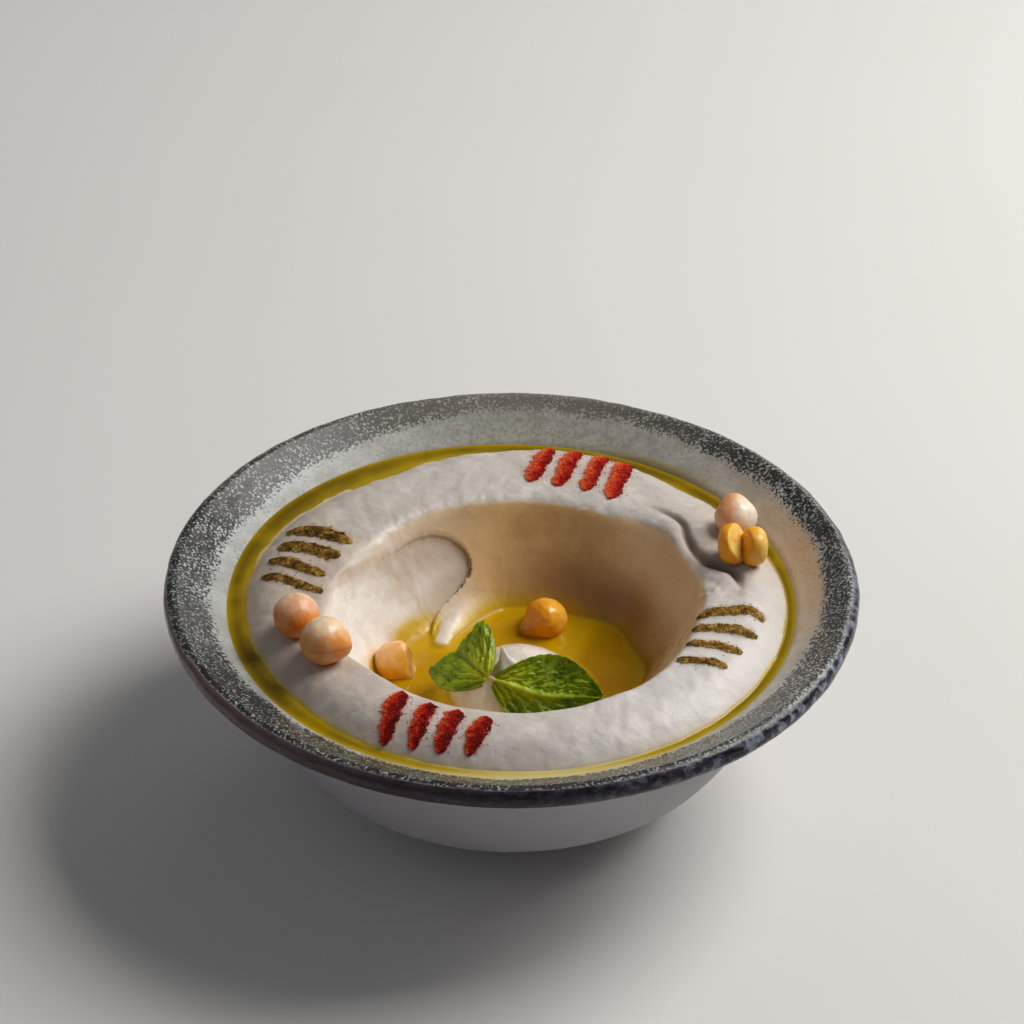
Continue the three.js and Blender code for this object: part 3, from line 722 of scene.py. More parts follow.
def glaze_material():
    glaze = Material("stoneware_glaze", IOR=1.52, Specular_IOR_Level=0.2)
    lip, band, body, faint = (glaze.mark(name) for name in ("lip", "band", "body", "faint"))
    # Fine pale specks on a dark ground, closer together towards the oil.
    near, far = (glaze.remap(glaze.noise(cell, 3), 0.3, 0.7, -0.03, 0.03) for cell in (3, 11))
    spots = glaze.plus(glaze.plus(near, glaze.noise(0.72, 2, 0.5)), far)
    cover = glaze.remap(lip, 0, 1, 0.30, 0.555, kind="LINEAR")
    # Fewer specks where the painted sheen lies at the front right, and more in front.
    cover = glaze.math("SUBTRACT", cover, glaze.times(glaze.mark("painted_sheen"), 0.02))
    cover = glaze.plus(cover, glaze.times(glaze.mark("front"), 0.035))
    specks = glaze.remap(glaze.math("SUBTRACT", spots, cover), -0.04, 0.11)
    clouds = glaze.remap(glaze.noise(6, 3), 0.35, 0.65)
    dark = glaze.mix(clouds, (40, 41, 41), (62, 62, 62))
    # The dark ground gets a painted sheen at the front right, and is fainter at the back.
    dark = glaze.tint(dark, ("painted_sheen", 0.2, (128, 129, 136)), ("faint", 0.8, (132, 127, 118)))
    dark = glaze.mix(glaze.remap(lip, 0.55, 0.0), dark, (142, 140, 132))
    pale = glaze.mix(clouds, (194, 197, 191), (170, 172, 165))
    pale = glaze.tint(pale, ("faint", 0.75, (158, 154, 142)))
    # The slope at the right gets a painted warm reflection of the paste.
    pale = glaze.tint(pale, ("paste_reflection", glaze.remap(lip, 0.2, 0.9, 0.85, 0.0), (206, 172, 132)))
    # A painted silvery highlight on the slope at the back left.
    pale = glaze.tint(pale, ("painted_silver_highlight", 0.7, (214, 220, 224)))
    fine = glaze.remap(glaze.noise(1.2, 4, 0.65), 0.42, 0.62)
    pale = glaze.mix(glaze.times(fine, glaze.remap(faint, 0, 1, 0.12, 0.5)), pale, (118, 114, 104))
    pale = glaze.tint(pale, ("stain", 0.8, (132, 112, 26)), ("left", 0.4, (150, 151, 148)))
    streaks = glaze.remap(glaze.noise(6, 4, 0.6, stretch=(1, 1, 4)), 0.35, 0.65)
    rim = glaze.mix(streaks, (22, 19, 26), (54, 46, 58))
    rim = glaze.mix(glaze.remap(glaze.noise(1.4, 3), 0.6, 0.8), rim, (84, 84, 104))
    # Painted gleaming highlights on the band at the front right, and a browner band at the left.
    gleam = glaze.remap(glaze.noise(2.6, 4, 0.6), 0.45, 0.66)
    rim = glaze.tint(rim, ("left", 0.75, (128, 102, 104)), ("painted_sheen", gleam, (146, 150, 168)))
    # The body's white glaze, painted a mauve grey as painted shade.
    body_in_painted_shade = glaze.mix(glaze.noise(14, 4), (178, 173, 178), (162, 158, 163))
    inner = glaze.mix(specks, dark, pale)
    glaze.set("Base Color", glaze.mix(body, glaze.mix(band, inner, rim), body_in_painted_shade))
    sheen = glaze.mix(band, glaze.mix(specks, 0.26, 0.38), 0.2)
    glaze.set("Roughness", glaze.mix(body, sheen, 0.55))
    waves = glaze.plus(glaze.noise(2.4, 4, 0.6), glaze.times(glaze.noise(5, 3), 0.8))
    strength = glaze.plus(0.32, glaze.times(band, 0.5))
    glaze.set("Normal", glaze.bump(waves, strength, 0.25, glaze.bump(specks, 0.35, 0.06)))
    return glaze.data


def make_bowl():
    sections = (INNER_SECTION, LIP_SECTION, BAND_SECTION, OUTER_SECTION, FOOT_SECTION)
    radii, heights = section_points(*sections, spacing=BOWL_SPACING)
    radii[0] = radii[-1] = 0
    bowl = turned_mesh("glazed_bowl", radii, heights, BOWL_SIDES, by_hand)
    bowl_marks(bowl)
    dress(bowl, glaze_material(), "glaze", "bowl")


# ---- Hummus ----

HUMMUS_SIDES = 560
# Ring radii of the top's mesh: up to each radius, with this spacing.
HUMMUS_SPACING = ((22, 0.85), (50, 0.36), (CONTACT_RADIUS, 0.5))
# Thin films of oil on the paste above the pool: middle, half sizes and strength.
FILM_PATCHES = (
    (-23.0, 8.0, 10.5, 10.5, 1.0), (16, 9, 8, 9, 1.0), (27, 2, 8, 14, 0.3), (0, 19, 13, 6, 0.6),
    (-34.5, -7, 4.6, 9, 0.9),
)
# Painted shade low on the back wall: middle and half width.
PAINTED_SHADE_PLACE, PAINTED_SHADE_REACH = (16.5, 22.5), 9.0
PEAK_X, PEAK_Y, PEAK_FOOT, PEAK_TOP = -1.1, -14.8, 4.4, 47.4
PEAK_RINGS, PEAK_SIDES = 46, 48
SPICE_BED = 0.2  # how much the paste is raised under the spice


def stripe_taper(line, share):
    """A stripe's width along its length: its ends are round, and those in front grow narrower."""
    to_end = np.clip(np.minimum(share, 1 - share) / 0.15, 0, 1)
    narrows = 0.3 if line[0][1] < -45 else 0
    belly = np.sin(np.pi * (0.1 + 0.8 * share)) ** 0.25
    return np.sqrt(1 - (1 - to_end) ** 2) * belly * (1 - narrows * share)


def stripe_cover(x, y, stripes):
    """How much spice lies at each place, from 0 to 1."""
    cover = np.zeros(np.shape(x))
    for line, width in stripes:
        middle = np.mean(line, axis=0)
        near = np.hypot(x - middle[0], y - middle[1]) < 16
        nx, ny = x[near], y[near]
        away, share, _ = nearest_on_line(nx, ny, curve_through(line, 6))
        taper = stripe_taper(line, share)
        ragged = rough((nx, ny, 0), (0.3, 0.9, 21), (0.25, 2.4, 22))
        beyond = away - width / 2 * taper + ragged
        dust = 0.22 * bell(np.clip(beyond, 0, None), 0.9) * (taper > 0.5)
        cover[near] = np.maximum(cover[near], np.maximum(ease(0.2, -0.4, beyond), dust))
    return cover


def oil_film(x, y, z):
    """How oily the paste is, from 0 to 1: along the pool's shore, in patches above it and by the rim."""
    distance, degrees = well_place(x, y)
    above = np.clip(z - POOL_Z, 0, None)
    reach = 1.5 + 1.2 * facing(degrees, 5, 50) + 1.6 * facing(degrees, 90, 40)
    film = np.exp(-above / reach) * (distance < 44)
    for px, py, rx, ry, strength in FILM_PATCHES:
        spread = np.sqrt(((x - px) / rx) ** 2 + ((y - py) / ry) ** 2)
        spread = spread + 0.06 * value_noise(x, y, 0, 4.5, 23)
        film = np.maximum(film, strength * ease(1.5, 0.1, spread) * ease(8, 1, above))
    film = film * ease(1.0, 2.6, nearest_on_line(x, y, TONGUE_LINE)[0])
    turn = turn_of(x, y)
    front = facing(turn, -85, 40)
    spread = 0.35 + 0.9 * front + 0.5 * facing(turn, 175, 40)
    edge = np.exp(-np.clip(z - OIL_RING_Z, 0, None) / spread) * (np.hypot(x, y) > 60)
    return np.maximum(film, (0.8 - 0.58 * front) * edge)


def oil_painted_shade(x, y):
    """How much painted shade darkens the oil in the well, towards the right."""
    return ease(4, 26, x) * ease(-30, -8, y)


def hummus_marks(x, y, z):
    """Numbers for the paste's material at each point of its skin."""
    distance, degrees = well_place(x, y)
    turn = turn_of(x, y)
    well, film = in_well(x, y), oil_film(x, y, z)
    into_scoop = scoop_depth(x, y)
    scooped = ease(-0.2, 0.2, into_scoop)
    blend = 0.2 + 11.8 * ease(-2, -18, y)  # in front no edge of the scoop shows
    pale = ease(-blend, blend, into_scoop)
    across = x + 2.5 * value_noise(x, y, 0, 9, 24)
    on_mound = mound_height(x, y) / MOUND_HEIGHT
    # The well's walls are tan, most to the right and least on the fresh scoop, the mound and round the
    # tongue; the tan is partly painted warm shade.
    tan = well * (0.22 + 0.78 * ease(-40, -2, across)) * (1 - 0.9 * pale)
    tan *= 1 - 0.8 * ease(0.05, 0.5, on_mound)
    tan *= 1 - 0.75 * bell(nearest_on_line(x, y, TONGUE_LINE)[0], 8) * ease(29, 12, y)
    # How strongly the painted shadow of the scoop's step shows along its edge, most at its right end.
    ledge_shadow = 0.05 + 0.34 * ease(-19, -15, x) * ease(13, 18, y) * ease(30.5, 27, y)
    ledge_shadow *= ease(-42, -20, x) * (nearest_on_line(x, y, SCOOP_EDGE)[0] < 2.5) * ease(9, 15, y)
    # Painted shade inside the scoop under its upper edge, behind the mound, and on the old wall at the far
    # left.
    under_edge = scooped * ease(9.5, 0.5, into_scoop) * ease(-44, -27, x) * ease(9, 19, y)
    behind_mound = 0.8 * ease(-8, -2, y) * ease(0.03, 0.3, on_mound)
    far_left = 0.45 * (1 - pale) * ease(-8, -24, x)
    # Painted shade under the ring's edge on the back wall.
    under_back = 0.6 * bell(x + 12, 9) * ease(48, 54, z) * ease(0, 20, y)
    brink = bell(distance - well_edge(degrees) + 0.2, 1.0) * facing(degrees, 88, 42)
    gloss = spot(x, y, WET_PLACE, 7.5) * (1 - film) + spot(x, y, TORN_PLACE, 4)
    return {
        "film": film,
        "well": well,
        "tan": tan,
        "cut": np.clip(into_scoop, -2, 2),
        "ledge_shadow": ledge_shadow,
        # low and dark: painted shade low on the right wall and on the back wall; right: painted light high on
        # the right wall.
        "low": ease(49, 36, z) * facing(degrees, 42, 42) * well,
        "painted_shade_hollows": np.maximum(np.maximum(under_edge, behind_mound), far_left),
        "painted_shade_right": oil_painted_shade(x, y),
        "dark": well * (1 - film) * np.maximum(spot(x, y, PAINTED_SHADE_PLACE, PAINTED_SHADE_REACH), under_back),
        "right": ease(14, 40, x) * ease(36, 46, z),
        # Painted shade on the ring's left and a little on its right, and painted light on its front right.
        "painted_shade_sides": (facing(turn, 190, 55) + 0.6 * facing(turn, 14, 26)) * (1 - well),
        "painted_light": facing(turn, -38, 38) * (1 - well),
        "gloss": np.clip(gloss + 0.8 * brink * (0.5 + value_noise(x, y, 0, 1.6, 25)), 0, 1),
        "crease": fold_shade(x, y),
        "red": stripe_cover(x, y, RED_STRIPES),
        "brown": stripe_cover(x, y, BROWN_STRIPES),
    }


def hummus_material():
    paste = Material("hummus_paste", IOR=1.45, Subsurface_Weight=0.25, Subsurface_Scale=0.0015)
    paste.shader.inputs["Subsurface Radius"].default_value = (1.0, 0.7, 0.4)
    film, well, ledge_shadow = (paste.mark(name) for name in ("film", "well", "ledge_shadow"))
    # The ring, off-white and mottled, and the walls of the well, tan to the right and cream at the left; the
    # tan is partly painted warm shade on the walls that lie in shade.
    colour = paste.mix(paste.noise(9, 3), (210, 203, 194), (198, 190, 181))
    colour = paste.mix(paste.remap(paste.noise(5, 5, 0.62), 0.45, 0.75, 0.0, 0.55), colour, (182, 173, 170))
    colour = paste.mix(paste.remap(paste.noise(7, 4, 0.55), 0.5, 0.72, 0.0, 0.8), colour, (226, 221, 214))
    # Painted shade on the ring's sides and painted light at its front right.
    colour = paste.tint(colour, ("painted_shade_sides", 0.6, (188, 166, 146)), ("painted_light", 0.6, (234, 230, 226)))
    deep = paste.mix(paste.remap(paste.noise(12, 3), 0.35, 0.65), (228, 189, 130), (210, 167, 106))
    # Painted light high on the right wall, and painted shade low on it and on the back wall.
    deep = paste.tint(deep, ("right", 0.8, (246, 211, 168)), ("low", 1, (156, 108, 58)))
    deep = paste.tint(deep, ("dark", 0.5, (116, 80, 46)))
    cream = paste.mix(paste.remap(paste.noise(4.5, 4, 0.6), 0.4, 0.66), (248, 244, 239), (236, 229, 220))
    # Painted shade in the scoop under its edge, behind the mound and at the far left.
    inner = paste.tint(paste.mix(paste.mark("tan"), cream, deep), ("painted_shade_hollows", 0.6, (176, 147, 112)))
    # The fold's groove is darkened with painted shade.
    colour = paste.mix(well, paste.tint(colour, ("crease", 0.9, (108, 84, 64))), inner)
    # The painted shadow of the small step along the torn edge of the last scoop.
    torn = paste.remap(paste.noise(0.8, 3, 0.6), 0.3, 0.7, -0.4, 0.4)
    torn = paste.times(torn, paste.remap(ledge_shadow, 0.05, 0.35))
    edge = paste.math("ABSOLUTE", paste.plus(paste.mark("cut"), torn))
    line = paste.remap(paste.math("SUBTRACT", edge, ledge_shadow), 0.14, -0.02)
    line = paste.times(line, paste.remap(ledge_shadow, 0.0, 0.08))
    colour = paste.mix(paste.times(line, 0.85), colour, (140, 104, 62))
    oily = paste.ramp(film, (0.0, (222, 196, 124)), (0.4, (216, 180, 44)), (1.0, (206, 166, 14)))
    # Painted shade on the oily paste towards the right.
    oily = paste.tint(oily, ("painted_shade_right", 0.62, (112, 72, 2)))
    colour = paste.mix(paste.remap(film, 0.0, 0.7), colour, oily)
    colour = paste.tint(colour, ("red", 1, (172, 30, 8)), ("brown", 1, (112, 84, 30)))
    paste.set("Base Color", colour)
    damp = paste.times(well, paste.remap(paste.noise(4, 3), 0.42, 0.6, 0.25, 1.0))
    wet = paste.plus(paste.math("MAXIMUM", paste.times(film, 0.6), damp), paste.mark("gloss"))
    paste.set("Roughness", paste.remap(wet, 0, 2, 0.46, 0.06, kind="LINEAR"))
    rough = paste.times(paste.noise(0.9, 4, 0.6), paste.remap(well, 0, 1, 1.0, 0.5))
    soft = paste.times(paste.noise(3.4, 3), paste.remap(well, 0, 1, 1.0, 0.6))
    paste.set("Normal", paste.bump(soft, 0.45, 0.6, paste.bump(rough, 0.3, 0.18)))
    return paste.data


def ring_radii():
    radii, start = [0.0], 0.0
    for end, spacing in HUMMUS_SPACING:
        radii.extend(np.linspace(start, end, int(round((end - start) / spacing)) + 1)[1:])
        start = end
    return np.array(radii)


def make_hummus():
    radii = ring_radii()
    below = [(r - 0.3, z + GAP) for r, z in reversed(INNER_SECTION[:14]) if r > 1] + [(0, 8.1 + GAP)]
    all_radii = np.concatenate((radii, [r for r, _ in below]))
    heights = np.concatenate((np.zeros(len(radii)), [z for _, z in below]))

    def raise_top(x, y, z):
        top = slice(0, len(radii))
        red, brown = (stripe_cover(x[top], y[top], stripes) for stripes in (RED_STRIPES, BROWN_STRIPES))
        z[top] = hummus_top(x[top], y[top]) + SPICE_BED * np.maximum(red, brown)
        return x, y, z

    hummus = turned_mesh("hummus_body", all_radii, heights, HUMMUS_SIDES, raise_top)
    add_marks(hummus, hummus_marks(*point_values(hummus, "co") / MM))
    paste = hummus_material()
    dress(hummus, paste, "hummus", "hummus")
    make_peak(paste)


def make_peak(paste):
    """The little peak that was pulled up when the spoon left the mound."""
    foot = float(hummus_top(np.array([PEAK_X]), np.array([PEAK_Y]))[0]) - 2
    share = np.linspace(0, 1, PEAK_RINGS)
    radii = PEAK_FOOT * (0.60 * share**0.8 + 0.45 * share**3)
    heights = PEAK_TOP - (PEAK_TOP - foot) * share

    def lean(x, y, z):
        up = np.clip((z - foot) / (PEAK_TOP - foot), 0, 1)
        ridge = 1 + 0.14 * np.sin(3 * np.arctan2(y, x) + 4 * up)
        bulge = 0.9 * bell(z - foot - 4.6, 1.3) * np.clip(x, 0, None) / (0.5 + np.hypot(x, y))
        x = x * ridge + bulge * 1.2
        return x + PEAK_X - 1.3 * up**2, y * ridge + PEAK_Y + 0.3 * up**2, z

    peak = turned_mesh("hummus_peak", np.append(radii, 0), np.append(heights, foot - 0.1), PEAK_SIDES, lean)
    # The peak is painted light all over.
    add_marks(peak, {"painted_light": 1.6})
    dress(peak, paste, "hummus")


# ---- Oil ----


# Colours of the oil from its thinnest to its deepest places, in the well and round the hummus.
OIL_DEPTHS = (0.0, 0.25, 0.6, 1.0)
POOL_COLOURS = ((194, 152, 10), (206, 164, 4), (196, 149, 1), (176, 127, 1))
RING_COLOURS = ((212, 198, 136), (168, 142, 26), (130, 106, 2), (106, 84, 1))
CHICKPEAS_IN_OIL = ((-29.8, -3.3, 5.0), (8.9, 15.7, 5.4))
POOL_SIDES, POOL_RINGS, POOL_REACH = 330, 90, 42
OIL_RING_SIDES, OIL_RING_STEPS = 400, 22
POOL_FULL_DEPTH, RING_FULL_DEPTH = 3.2, 1.3  # where the oil has its deepest colour
WALL_RISE = 0.66  # slope of the bowl's wall at the oil


def oil_material():
    oil = Material("olive_oil", IOR=1.47, Specular_IOR_Level=0.25)
    deep = oil.mark("depth")
    oil.set("Roughness", oil.remap(deep, 0, 0.3, 0.5, 0.07))
    pool, ring = (oil.ramp(deep, *zip(OIL_DEPTHS, colours)) for colours in (POOL_COLOURS, RING_COLOURS))
    colour = oil.mix(oil.mark("ring"), pool, ring)
    colour = oil.mix(oil.remap(oil.noise(11, 2), 0.4, 0.7, 0.0, 0.18), colour, (216, 178, 20))
    # Painted shade on the oil towards the right.
    oil.set("Base Color", oil.tint(colour, ("painted_shade_right", 0.45, (112, 72, 2))))
    oil.set("Normal", oil.bump(oil.noise(14, 2), 0.1, 0.3))
    return oil.data


def closed_sheet(name, top, below, faces, marks):
    """A thin closed body from a sheet of quads, its copy below and walls round its edges."""
    used = np.unique(faces)
    index = np.full(len(top), -1)
    index[used] = np.arange(len(used))
    faces = index[faces]
    count = len(used)
    edges = np.concatenate([faces[:, [k, (k + 1) % 4]] for k in range(4)])
    codes = edges[:, 0] * count + edges[:, 1]
    twins = edges[:, 1] * count + edges[:, 0]
    rim = edges[~np.isin(codes, twins)]
    walls = np.stack((rim[:, 1], rim[:, 0], rim[:, 0] + count, rim[:, 1] + count), -1)
    quads = np.concatenate((faces, faces[:, ::-1] + count, walls))
    points = np.concatenate((top[used], below[used]))
    both = {mark: np.tile(values[used], 2) for mark, values in marks.items()}
    return make_mesh(name, points, quads, both)


def make_pool(oil):
    """The oil in the well: level, with a low rise where it wets the paste and the chickpeas."""
    radii = np.linspace(0.4, POOL_REACH, POOL_RINGS)
    angles = angles_round(POOL_SIDES)
    x, y = WELL_X + radii[:, None] * np.cos(angles), WELL_Y + radii[:, None] * np.sin(angles)
    ground = hummus_top(x, y)
    z = soft_max(POOL_Z - 0.3, np.minimum(ground, POOL_Z + 2) - 0.42, 1.2)
    for px, py, radius in CHICKPEAS_IN_OIL:
        away = np.clip(np.hypot(x - px, y - py) - radius, 0, None)
        z += 0.45 * np.exp(-away / 0.8)
    depth = np.clip((z - ground) / POOL_FULL_DEPTH, 0, 1)
    wet = (ground < z + 0.3).ravel()
    points = stack_points(x, y, z)
    faces = grid_faces(POOL_RINGS, POOL_SIDES, True)
    faces = faces[wet[faces].any(axis=1)]
    below = points.copy()
    below[:, 2] = np.minimum(points[:, 2] - 0.2, ground.ravel() - 0.4)
    marks = {"depth": depth.ravel(), "ring": np.zeros(len(points)), "painted_shade_right": oil_painted_shade(x, y).ravel()}
    skin = closed_sheet("oil_in_well", points, below, faces, marks)
    dress(skin, oil, "olive_oil", "oil_pool")


def make_oil_ring(oil):
    """The oil between the paste and the bowl, which climbs a little on both."""
    angles = angles_round(OIL_RING_SIDES)
    dx, dy = np.cos(angles), np.sin(angles)
    inner = hummus_radius(dx, dy) - 1.8
    outer = OIL_RING_RADIUS + 1.2
    share = np.linspace(0, 1, OIL_RING_STEPS)[:, None]
    radius = inner + (outer - inner) * share
    x, y = radius * dx, radius * dy
    ground = hummus_top(x, y)
    wall = OIL_RING_Z + (radius - OIL_RING_RADIUS) * WALL_RISE
    bed = np.maximum(ground, wall)
    level = OIL_RING_Z - 0.1 + 0.45 * facing(np.degrees(angles), 148, 28)
    z = soft_max(level, bed - 0.2, 0.4)
    # It lies thin over the paste's foot in front, and is deep elsewhere up to the paste's edge.
    front = facing(np.degrees(angles), -84, 38)
    depth = np.clip((z - np.maximum(hummus_form(x, y), wall)) / RING_FULL_DEPTH, 0, 1)
    depth = (0.3 + 0.7 * depth) * (1 - front) + 0.1 * depth * front
    points = stack_points(x, y, z)
    below = points.copy()
    below[:, 2] = np.minimum(points[:, 2] - 0.3, bed.ravel() - 0.5)
    marks = {"depth": depth.ravel(), "ring": np.ones(len(points))}
    faces = grid_faces(OIL_RING_STEPS, OIL_RING_SIDES, True)
    skin = closed_sheet("oil_round_hummus", points, below, faces, marks)
    dress(skin, oil, "olive_oil", "oil_ring")


# ---- Chickpeas ----

# For each whole chickpea: its middle and radius; the way, length and width of its beak; the normal,
# offset and depth of its seam, whose groove is darkened with painted shade; the side where its skin is
# painted paler as painted light; and its colours. The one in the oil at the left also has a flat face, by its
# normal and share of the radius, a second corner, and a flap of skin. Those in the oil are more uneven and
# glossier.
ON_RING = {"beak_size": (0.13, 0.42), "seam_offset": 0, "uneven": 0.03, "oily": 0.0}
IN_OIL = {"seam_offset": 0, "seam_depth": 0.0, "uneven": 0.06, "oily": 1.0}
CHICKPEAS = {
    "chickpea_ring_left_back": ON_RING | {
        "middle": (-53.2, -21.3, 61.2), "radius": 5.7, "beak": (-0.2, 0.9, -0.3),
        "seam": (0.9, 0.25, 0.35), "seam_offset": 0.3, "seam_depth": 0.012, "painted_light_side": (0.1, 0.3, 0.95),
        "deep": (240, 144, 46), "pale": (246, 204, 168),
    },
    "chickpea_ring_left_front": ON_RING | {
        "middle": (-45.4, -32.3, 61.6), "radius": 6.1, "beak": (0.93, -0.3, -0.1),
        "seam": (0.09, 0.02, 1.0), "seam_offset": 0.07, "seam_depth": 0.016, "painted_light_side": (-0.1, 0.3, 0.9),
        "deep": (255, 168, 78), "pale": (255, 220, 184),
    },
    "chickpea_oil_left": IN_OIL | {
        "middle": (-29.8, -3.3, 33.3), "radius": 5.4, "beak": (0.78, -0.45, -0.42), "beak_size": (0.3, 0.38),
        "seam": (-0.3, 0.4, 0.86), "painted_light_side": (-0.6, 0.2, 0.75),
        "face": (0.97, -0.12, 0.2), "face_share": 0.82, "corner": (0.3, 0.1, 0.95),
        "flap": (0.93, -0.34, -0.16), "flap_size": (0.2, 0.27),
        "deep": (230, 158, 30), "pale": (246, 190, 120),
    },
    "chickpea_oil_back": IN_OIL | {
        "middle": (8.9, 15.7, 33.4), "radius": 5.8, "beak": (-0.84, -0.42, -0.34), "beak_size": (0.34, 0.42),
        "seam": (0.5, 0.3, 0.8), "painted_light_side": (0.8, 0.1, 0.6),
        "deep": (232, 144, 6), "pale": (250, 182, 60),
    },
    "chickpea_ring_right_pale": ON_RING | {
        "middle": (58.2, 24.9, 60.4), "radius": 5.6, "beak": (-0.15, 0.55, 0.8),
        "seam": (0.8, 0.5, -0.3), "seam_depth": 0.006, "painted_light_side": (0.8, -0.2, 0.5),
        "deep": (248, 182, 126), "pale": (255, 240, 220),
    },
}
CHICKPEA_ROWS, CHICKPEA_SIDES = 80, 108
HALF_ROWS, HALF_SIDES = 72, 96
HALF_BLUNTNESS = 2.5
SPLIT_CHICKPEA = "chickpea_ring_right_split"
SPLIT_MIDDLE = (59.2, 10.9, 61.3)
# Its two halves: middle from the whole's middle, half sizes, and the normal and depth of the flat face.
LEFT_HALF = ((-2.6, 0.3, 0.0), (3.8, 4.9, 5.1), (0.80, -0.35, 0.48), 1.9)
RIGHT_HALF = ((2.8, -0.6, -0.1), (3.6, 4.6, 4.9), (-0.9, -0.25, 0.3), 2.6)


def unit(vector):
    return np.asarray(vector, float) / np.linalg.norm(vector)


def ball_directions(rows, sides):
    """Directions over a ball as a grid from +Z to -Z."""
    tilt = np.linspace(0, np.pi, rows)[:, None]
    turn = angles_round(sides)
    grid = np.broadcast_arrays(np.sin(tilt) * np.cos(turn), np.sin(tilt) * np.sin(turn), np.cos(tilt))
    return np.stack(grid, -1)


def angle_from(ways, way):
    return np.arccos(np.clip(ways @ unit(way), -1, 1))


def ball_mesh(name, points, marks=None):
    """A closed skin, or several in one mesh, from grids of points that run from end to end."""
    points = points.reshape(-1, *points.shape[-3:])
    shells, rows, sides = points.shape[:3]
    flat = {mark: values.ravel() for mark, values in (marks or {}).items()}
    faces = [grid_faces(rows, sides, True, k * rows * sides) for k in range(shells)]
    piece = make_mesh(name, points.reshape(-1, 3), np.vstack(faces), flat)
    merge_ends(piece, rows, sides, shells)
    return piece


def chickpea_material(name, deep, pale, oily=0.0, blotch=0.35):
    skin = Material(name, IOR=1.45, Subsurface_Weight=0.55 - 0.3 * oily, Subsurface_Scale=0.003)
    skin.shader.inputs["Subsurface Radius"].default_value = (1.0, 0.4, 0.15)
    clouds = skin.remap(skin.noise(4.5, 4), 0.3, 0.7, -blotch, blotch)
    whiteness = skin.math("ADD", skin.mark("pale"), clouds, clamp=True)
    # The seam's colour is painted shade in its groove, and darker at the beak's tip.
    in_seam = tuple((0.72 - 0.3 * oily) * c for c in deep)
    colour = skin.mix(whiteness, deep, pale)
    colour = skin.tint(colour, ("face", 0.85, (158, 122, 52)), ("seam", 1, in_seam))
    skin.set("Base Color", colour)
    skin.set("Roughness", skin.remap(skin.noise(3, 2), 0.35, 0.65, 0.22 - 0.12 * oily, 0.38 - 0.2 * oily))
    skin.set("Normal", skin.bump(skin.noise(1.5, 4, 0.6), 0.35 + 0.3 * oily, 0.2))
    return skin.data


def cut_flat(ways, length, normal, depth, blend):
    """Flattens a body at a plane, for lengths along ways from its middle. Also says what is on the face."""
    wx, wy, wz = np.moveaxis(ways * 4, -1, 0)
    plane = depth * (1 + 0.09 * value_noise(wx, wy, wz, 1.5, 38)) / np.clip(ways @ unit(normal), 1e-3, None)
    return -soft_max(-length, -plane, blend), ease(2 * blend, -blend, plane - length)


def make_chickpea(name, look, seed):
    ways = ball_directions(CHICKPEA_ROWS, CHICKPEA_SIDES)
    off = angle_from(ways, look["beak"])
    reach, width = look["beak_size"]
    length = 1 + reach * bell(off, width) - 0.05 * bell(off - 0.85, 0.35)
    wx, wy, wz = np.moveaxis(ways * 4 + 9 * seed, -1, 0)
    across = ways @ unit(look["seam"]) - look["seam_offset"] + 0.05 * value_noise(wx, wy, wz, 1.7, 31)
    seam = bell(across, 0.08) * ease(-0.55, 0.1, ways @ unit(look["beak"]))
    tip = bell(off, width * (1.4 if reach > 0.32 else 0.6))
    length -= look["seam_depth"] * seam
    uneven = look["uneven"]
    length += uneven * value_noise(wx, wy, wz, 2.6, 32) + uneven / 3 * value_noise(wx, wy, wz, 0.8, 33)
    length += 0.006 * np.abs(value_noise(wx * 1.6, wy, wz * 0.8, 0.45, 34))
    # The skin is painted paler on its lit side, as painted light.
    pale = ease(-0.1, 0.95, ways @ unit(look["painted_light_side"]))
    face = np.zeros(length.shape)
    if "face" in look:
        length += 0.12 * bell(angle_from(ways, look["corner"]), 0.5)
        length, face = cut_flat(ways, length, look["face"], look["face_share"], 0.1)
        rise, size = look["flap_size"]
        flap = bell(angle_from(ways, look["flap"]), size)
        length += rise * flap
        # Pale on the flap of skin, and a painted highlight along the rim of the flat face.
        pale = np.maximum(pale * (1 - face), np.maximum(3.8 * face * (1 - face), flap))
        face = face * (1 - flap)
        tip = tip * 0.2
    points = ways * length[..., None] * look["radius"] + np.array(look["middle"])
    # Painted shade in the seam's groove, darker for a deeper seam, and a darker beak tip.
    dark = np.clip(25 * look["seam_depth"] * seam + (0.4 + 1.6 * max(reach - 0.13, 0)) * tip, 0, 0.9)
    marks = {"seam": dark, "pale": np.clip(pale * (1 - tip), 0, 1), "face": face}
    piece = ball_mesh(name + "_skin", points, marks)
    skin = chickpea_material(name + "_look", look["deep"], look["pale"], look["oily"])
    dress(piece, skin, "chickpea", name)


def half_ball(middle, size, face, depth):
    """Half of a skinned chickpea, as points and how much each is on its flat inner face."""
    ways = ball_directions(HALF_ROWS, HALF_SIDES)
    length = (np.abs(ways / np.array(size)) ** HALF_BLUNTNESS).sum(-1) ** (-1 / HALF_BLUNTNESS)
    wx, wy, wz = np.moveaxis(ways * 5 + middle[0], -1, 0)
    length += rough((wx, wy, wz), (0.12, 2.0, 36), (0.04, 0.8, 37))
    length, on_face = cut_flat(ways, length, face, depth, 0.45)
    return ways * length[..., None] + np.array(middle), on_face


